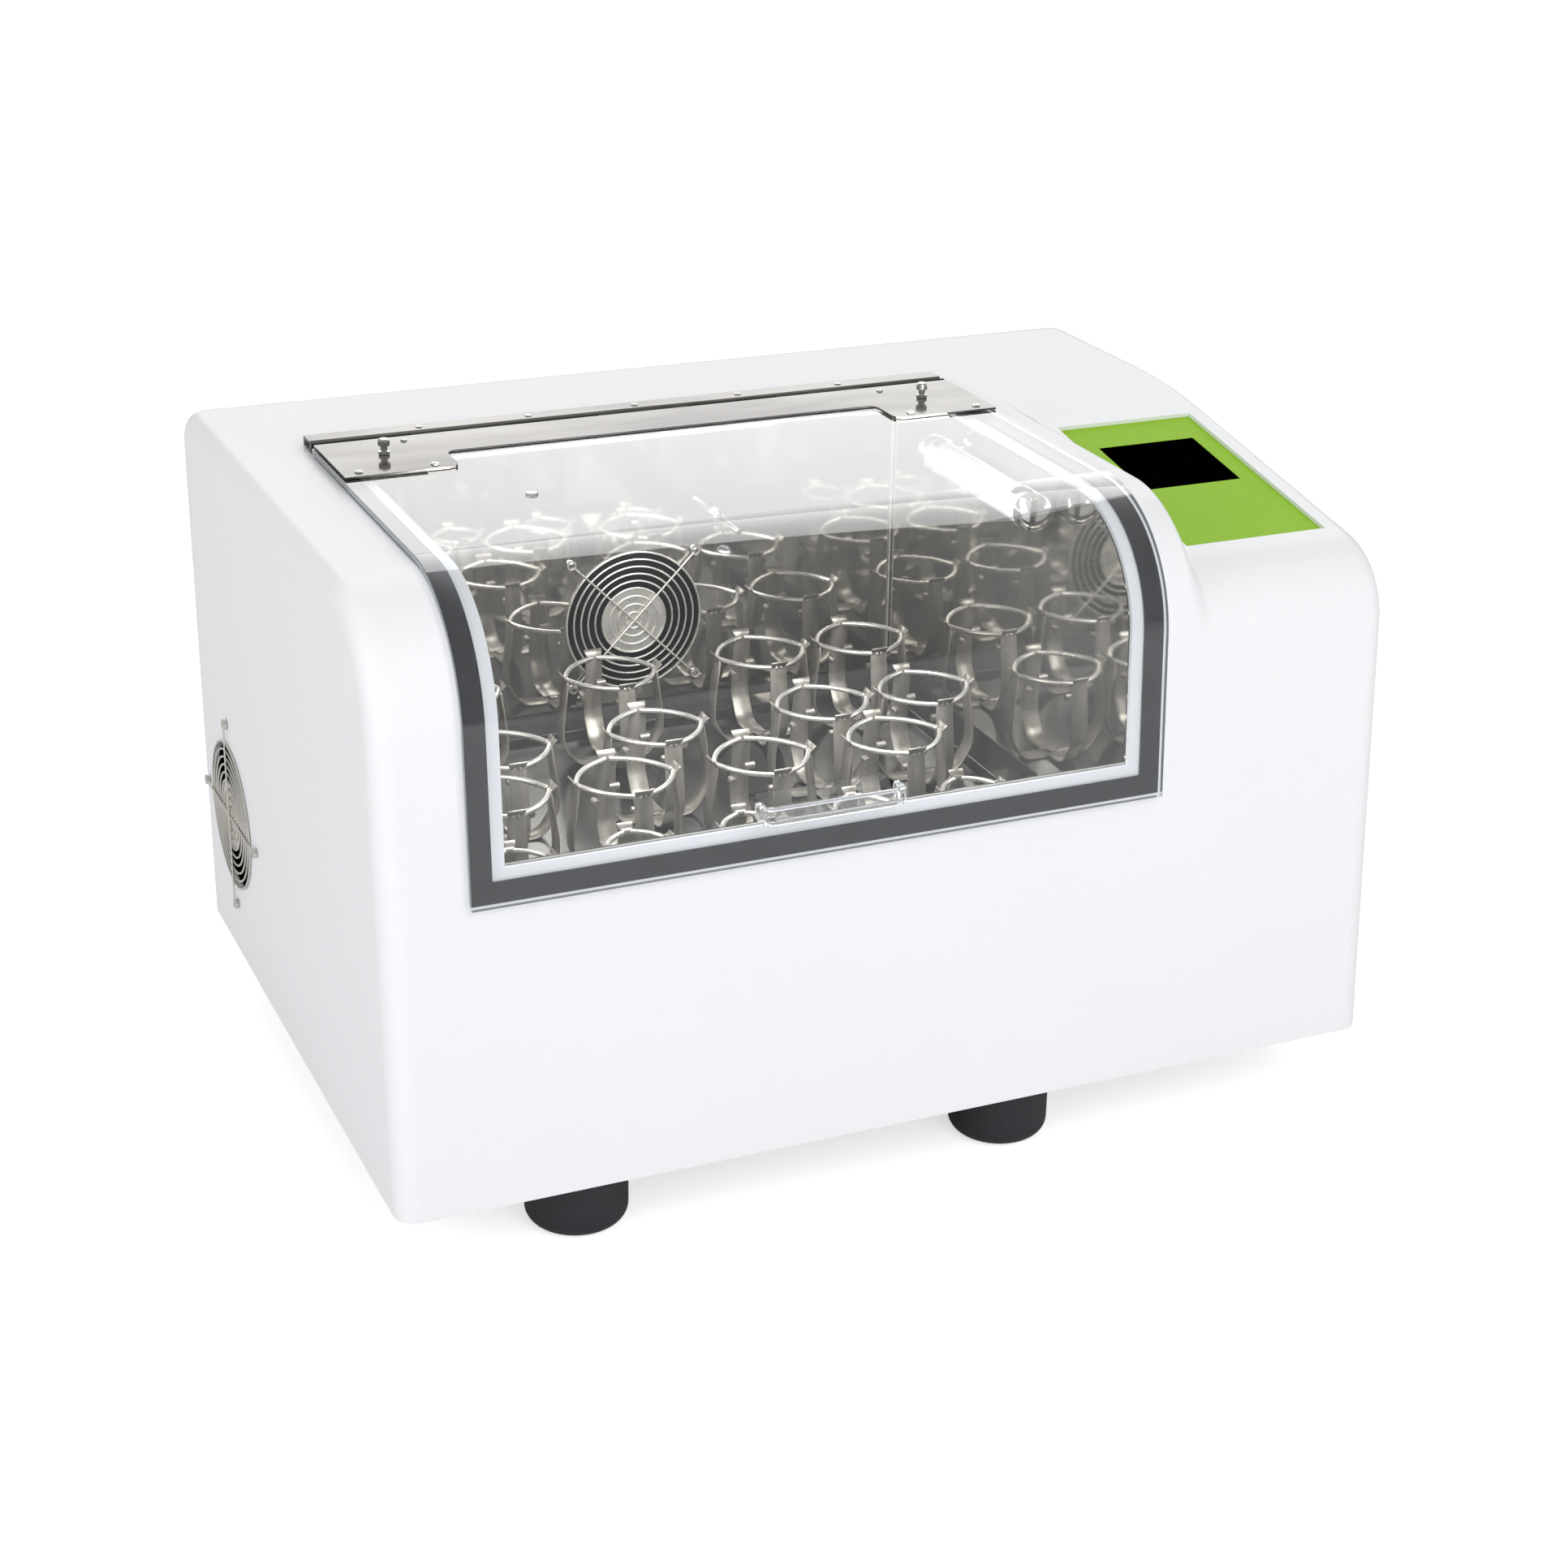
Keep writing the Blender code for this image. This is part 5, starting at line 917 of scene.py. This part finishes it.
def buildLamp():
    low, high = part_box("lamp_tube")
    middle, length = (low + high) / 2, high.y - low.y
    radius, capLength, cap = 13 * mm, 16 * mm, (high.x - low.x) / 2
    lie = Matrix.Translation((middle.x, low.y, middle.z)) @ Matrix.Rotation(-math.pi / 2, 4, "X")
    bm = bmesh.new()
    turnedShape(bm, [(0, length - capLength), (radius, length - capLength), (radius, capLength),
                     (0, capLength)], 48, lie)
    placePiece(bm, "lampTube", opalGlass, "cabinet", ("lamp_tube",), 40)
    bm = bmesh.new()
    for start, way in ((0, 1), (length, -1)):
        dome = [(cap * math.sin(a), way * 6 * mm * (1 - math.cos(a)))
                for a in (0, 0.35, 0.7, 1.05, 1.3, 1.571)]
        profile = dome + [(cap, way * (capLength - 1 * mm)), (cap - 1 * mm, way * capLength),
                          (0, way * capLength)]
        turnedShape(bm, profile, 48, lie @ Matrix.Translation((0, 0, start)))
    bmesh.ops.recalc_face_normals(bm, faces=bm.faces)
    placePiece(bm, "lampCaps", polishedSteel, "cabinet", (), 40)


buildFittings()
buildSeam()
buildLamp()
print("fittings built")

# floor, light and camera
stageLook = {"floorSize": 14.0, "floor": "#F4F4F5", "cameraGlow": 0.62, "worldLight": 0.48}
# a matte lamp isn't mirrored by the object, and a mirrored one gives it nothing but its reflection
lamps = {"keyFront": {"place": (0.3, -2.8, 2.0), "aim": (0.1, 0, 0.2), "size": (2.4, 2.4), "power": 50,
                      "reach": "matte"},
         "fillLeft": {"place": (-2.8, -0.6, 1.4), "aim": (0, 0, 0.25), "size": (2.0, 2.0), "power": 26,
                      "reach": "matte"},
         "rearFill": {"place": (1.22, 3.18, 2.66), "aim": (-0.06, 0, 0.47), "size": (4.2, 3.8), "power": 22,
                      "reach": "matte"},
         "softbox": {"place": (1.08, 2.82, 2.38), "aim": (-0.06, 0, 0.47), "size": (4.2, 3.8), "power": 68,
                     "reach": "mirrored"},
         "upperSoftbox": {"place": (0.86, 2.29, 2.9), "aim": (-0.06, 0, 0.47), "size": (4.2, 1.9),
                          "power": 24, "reach": "mirrored"},
         "insideLight": {"place": (-0.05, -0.06, 0.452), "aim": (-0.05, 0.06, 0.1), "size": (0.4, 0.16),
                         "power": 2.2, "reach": "both"}}
eye = {"place": (-789.26 * mm, -1817.09 * mm, 1001.93 * mm), "yaw": 0.4159, "pitch": 0.4059, "roll": 0.0155,
       "lens": 65.753, "sensor": 36.0}


def buildFloor():
    bm = bmesh.new()
    bmesh.ops.create_grid(bm, x_segments=1, y_segments=1, size=stageLook["floorSize"] / 2)
    mesh = bpy.data.meshes.new("floor")
    bm.to_mesh(mesh)
    bm.free()
    floor = bpy.data.objects.new("floor", mesh)
    bpy.context.scene.collection.objects.link(floor)
    material = bpy.data.materials.new("paleFloor")
    material.use_nodes = True
    tree = material.node_tree
    tree.nodes.clear()
    seen = addNode(tree, "ShaderNodeLightPath")
    both = addNode(tree, "ShaderNodeMath", operation="MAXIMUM",
                   links={0: seen.outputs["Is Camera Ray"], 1: seen.outputs["Is Transmission Ray"]})
    glow = addNode(tree, "ShaderNodeMath", {1: stageLook["cameraGlow"]}, {0: both.outputs[0]},
                   operation="MULTIPLY")
    matte = addNode(tree, "ShaderNodeBsdfDiffuse", {"Color": hexColour(stageLook["floor"])})
    light = addNode(tree, "ShaderNodeEmission", {"Color": (1, 1, 1, 1)}, {"Strength": glow.outputs[0]})
    total = addNode(tree, "ShaderNodeAddShader", links={0: matte.outputs[0], 1: light.outputs[0]})
    addNode(tree, "ShaderNodeOutputMaterial", links={"Surface": total.outputs[0]})
    floor.data.materials.append(material)


def buildLight():
    world = bpy.data.worlds.new("studio")
    bpy.context.scene.world = world
    world.use_nodes = True
    tree = world.node_tree
    tree.nodes.clear()
    seen = addNode(tree, "ShaderNodeLightPath")
    strength = addNode(tree, "ShaderNodeMapRange", {"To Min": stageLook["worldLight"], "To Max": 1.0},
                       {"Value": seen.outputs["Is Camera Ray"]})
    sky = addNode(tree, "ShaderNodeBackground", {"Color": (1, 1, 1, 1)},
                  {"Strength": strength.outputs["Result"]})
    addNode(tree, "ShaderNodeOutputWorld", links={"Surface": sky.outputs[0]})
    for name, look in lamps.items():
        data = bpy.data.lights.new(name, "AREA")
        data.shape = "RECTANGLE"
        data.size, data.size_y = look["size"]
        data.energy = look["power"]
        lamp = bpy.data.objects.new(name, data)
        bpy.context.scene.collection.objects.link(lamp)
        lamp.visible_camera = False
        lamp.visible_diffuse = look["reach"] != "mirrored"
        lamp.visible_glossy = look["reach"] != "matte"
        lamp.location = look["place"]
        aim = Vector(look["aim"]) - Vector(look["place"])
        lamp.rotation_euler = aim.to_track_quat("-Z", "Y").to_euler()


def buildCamera():
    yaw, pitch, roll = eye["yaw"], eye["pitch"], eye["roll"]
    ahead = Vector((math.sin(yaw) * math.cos(pitch), math.cos(yaw) * math.cos(pitch), -math.sin(pitch)))
    right = Vector((math.cos(yaw), -math.sin(yaw), 0))
    up = right.cross(ahead)
    across = right * math.cos(roll) + up * math.sin(roll)
    upright = up * math.cos(roll) - right * math.sin(roll)
    data = bpy.data.cameras.new("camera")
    data.lens = eye["lens"]
    data.sensor_width = eye["sensor"]
    data.clip_start = 0.05
    data.clip_end = 60
    camera = bpy.data.objects.new("camera", data)
    bpy.context.scene.collection.objects.link(camera)
    turn = Matrix((across, upright, -ahead)).transposed().to_4x4()
    camera.matrix_world = Matrix.Translation(origin + Vector(eye["place"])) @ turn
    bpy.context.scene.camera = camera


buildFloor()
buildLight()
buildCamera()
bpy.context.scene.view_settings.view_transform = "Standard"
print("stage ready")
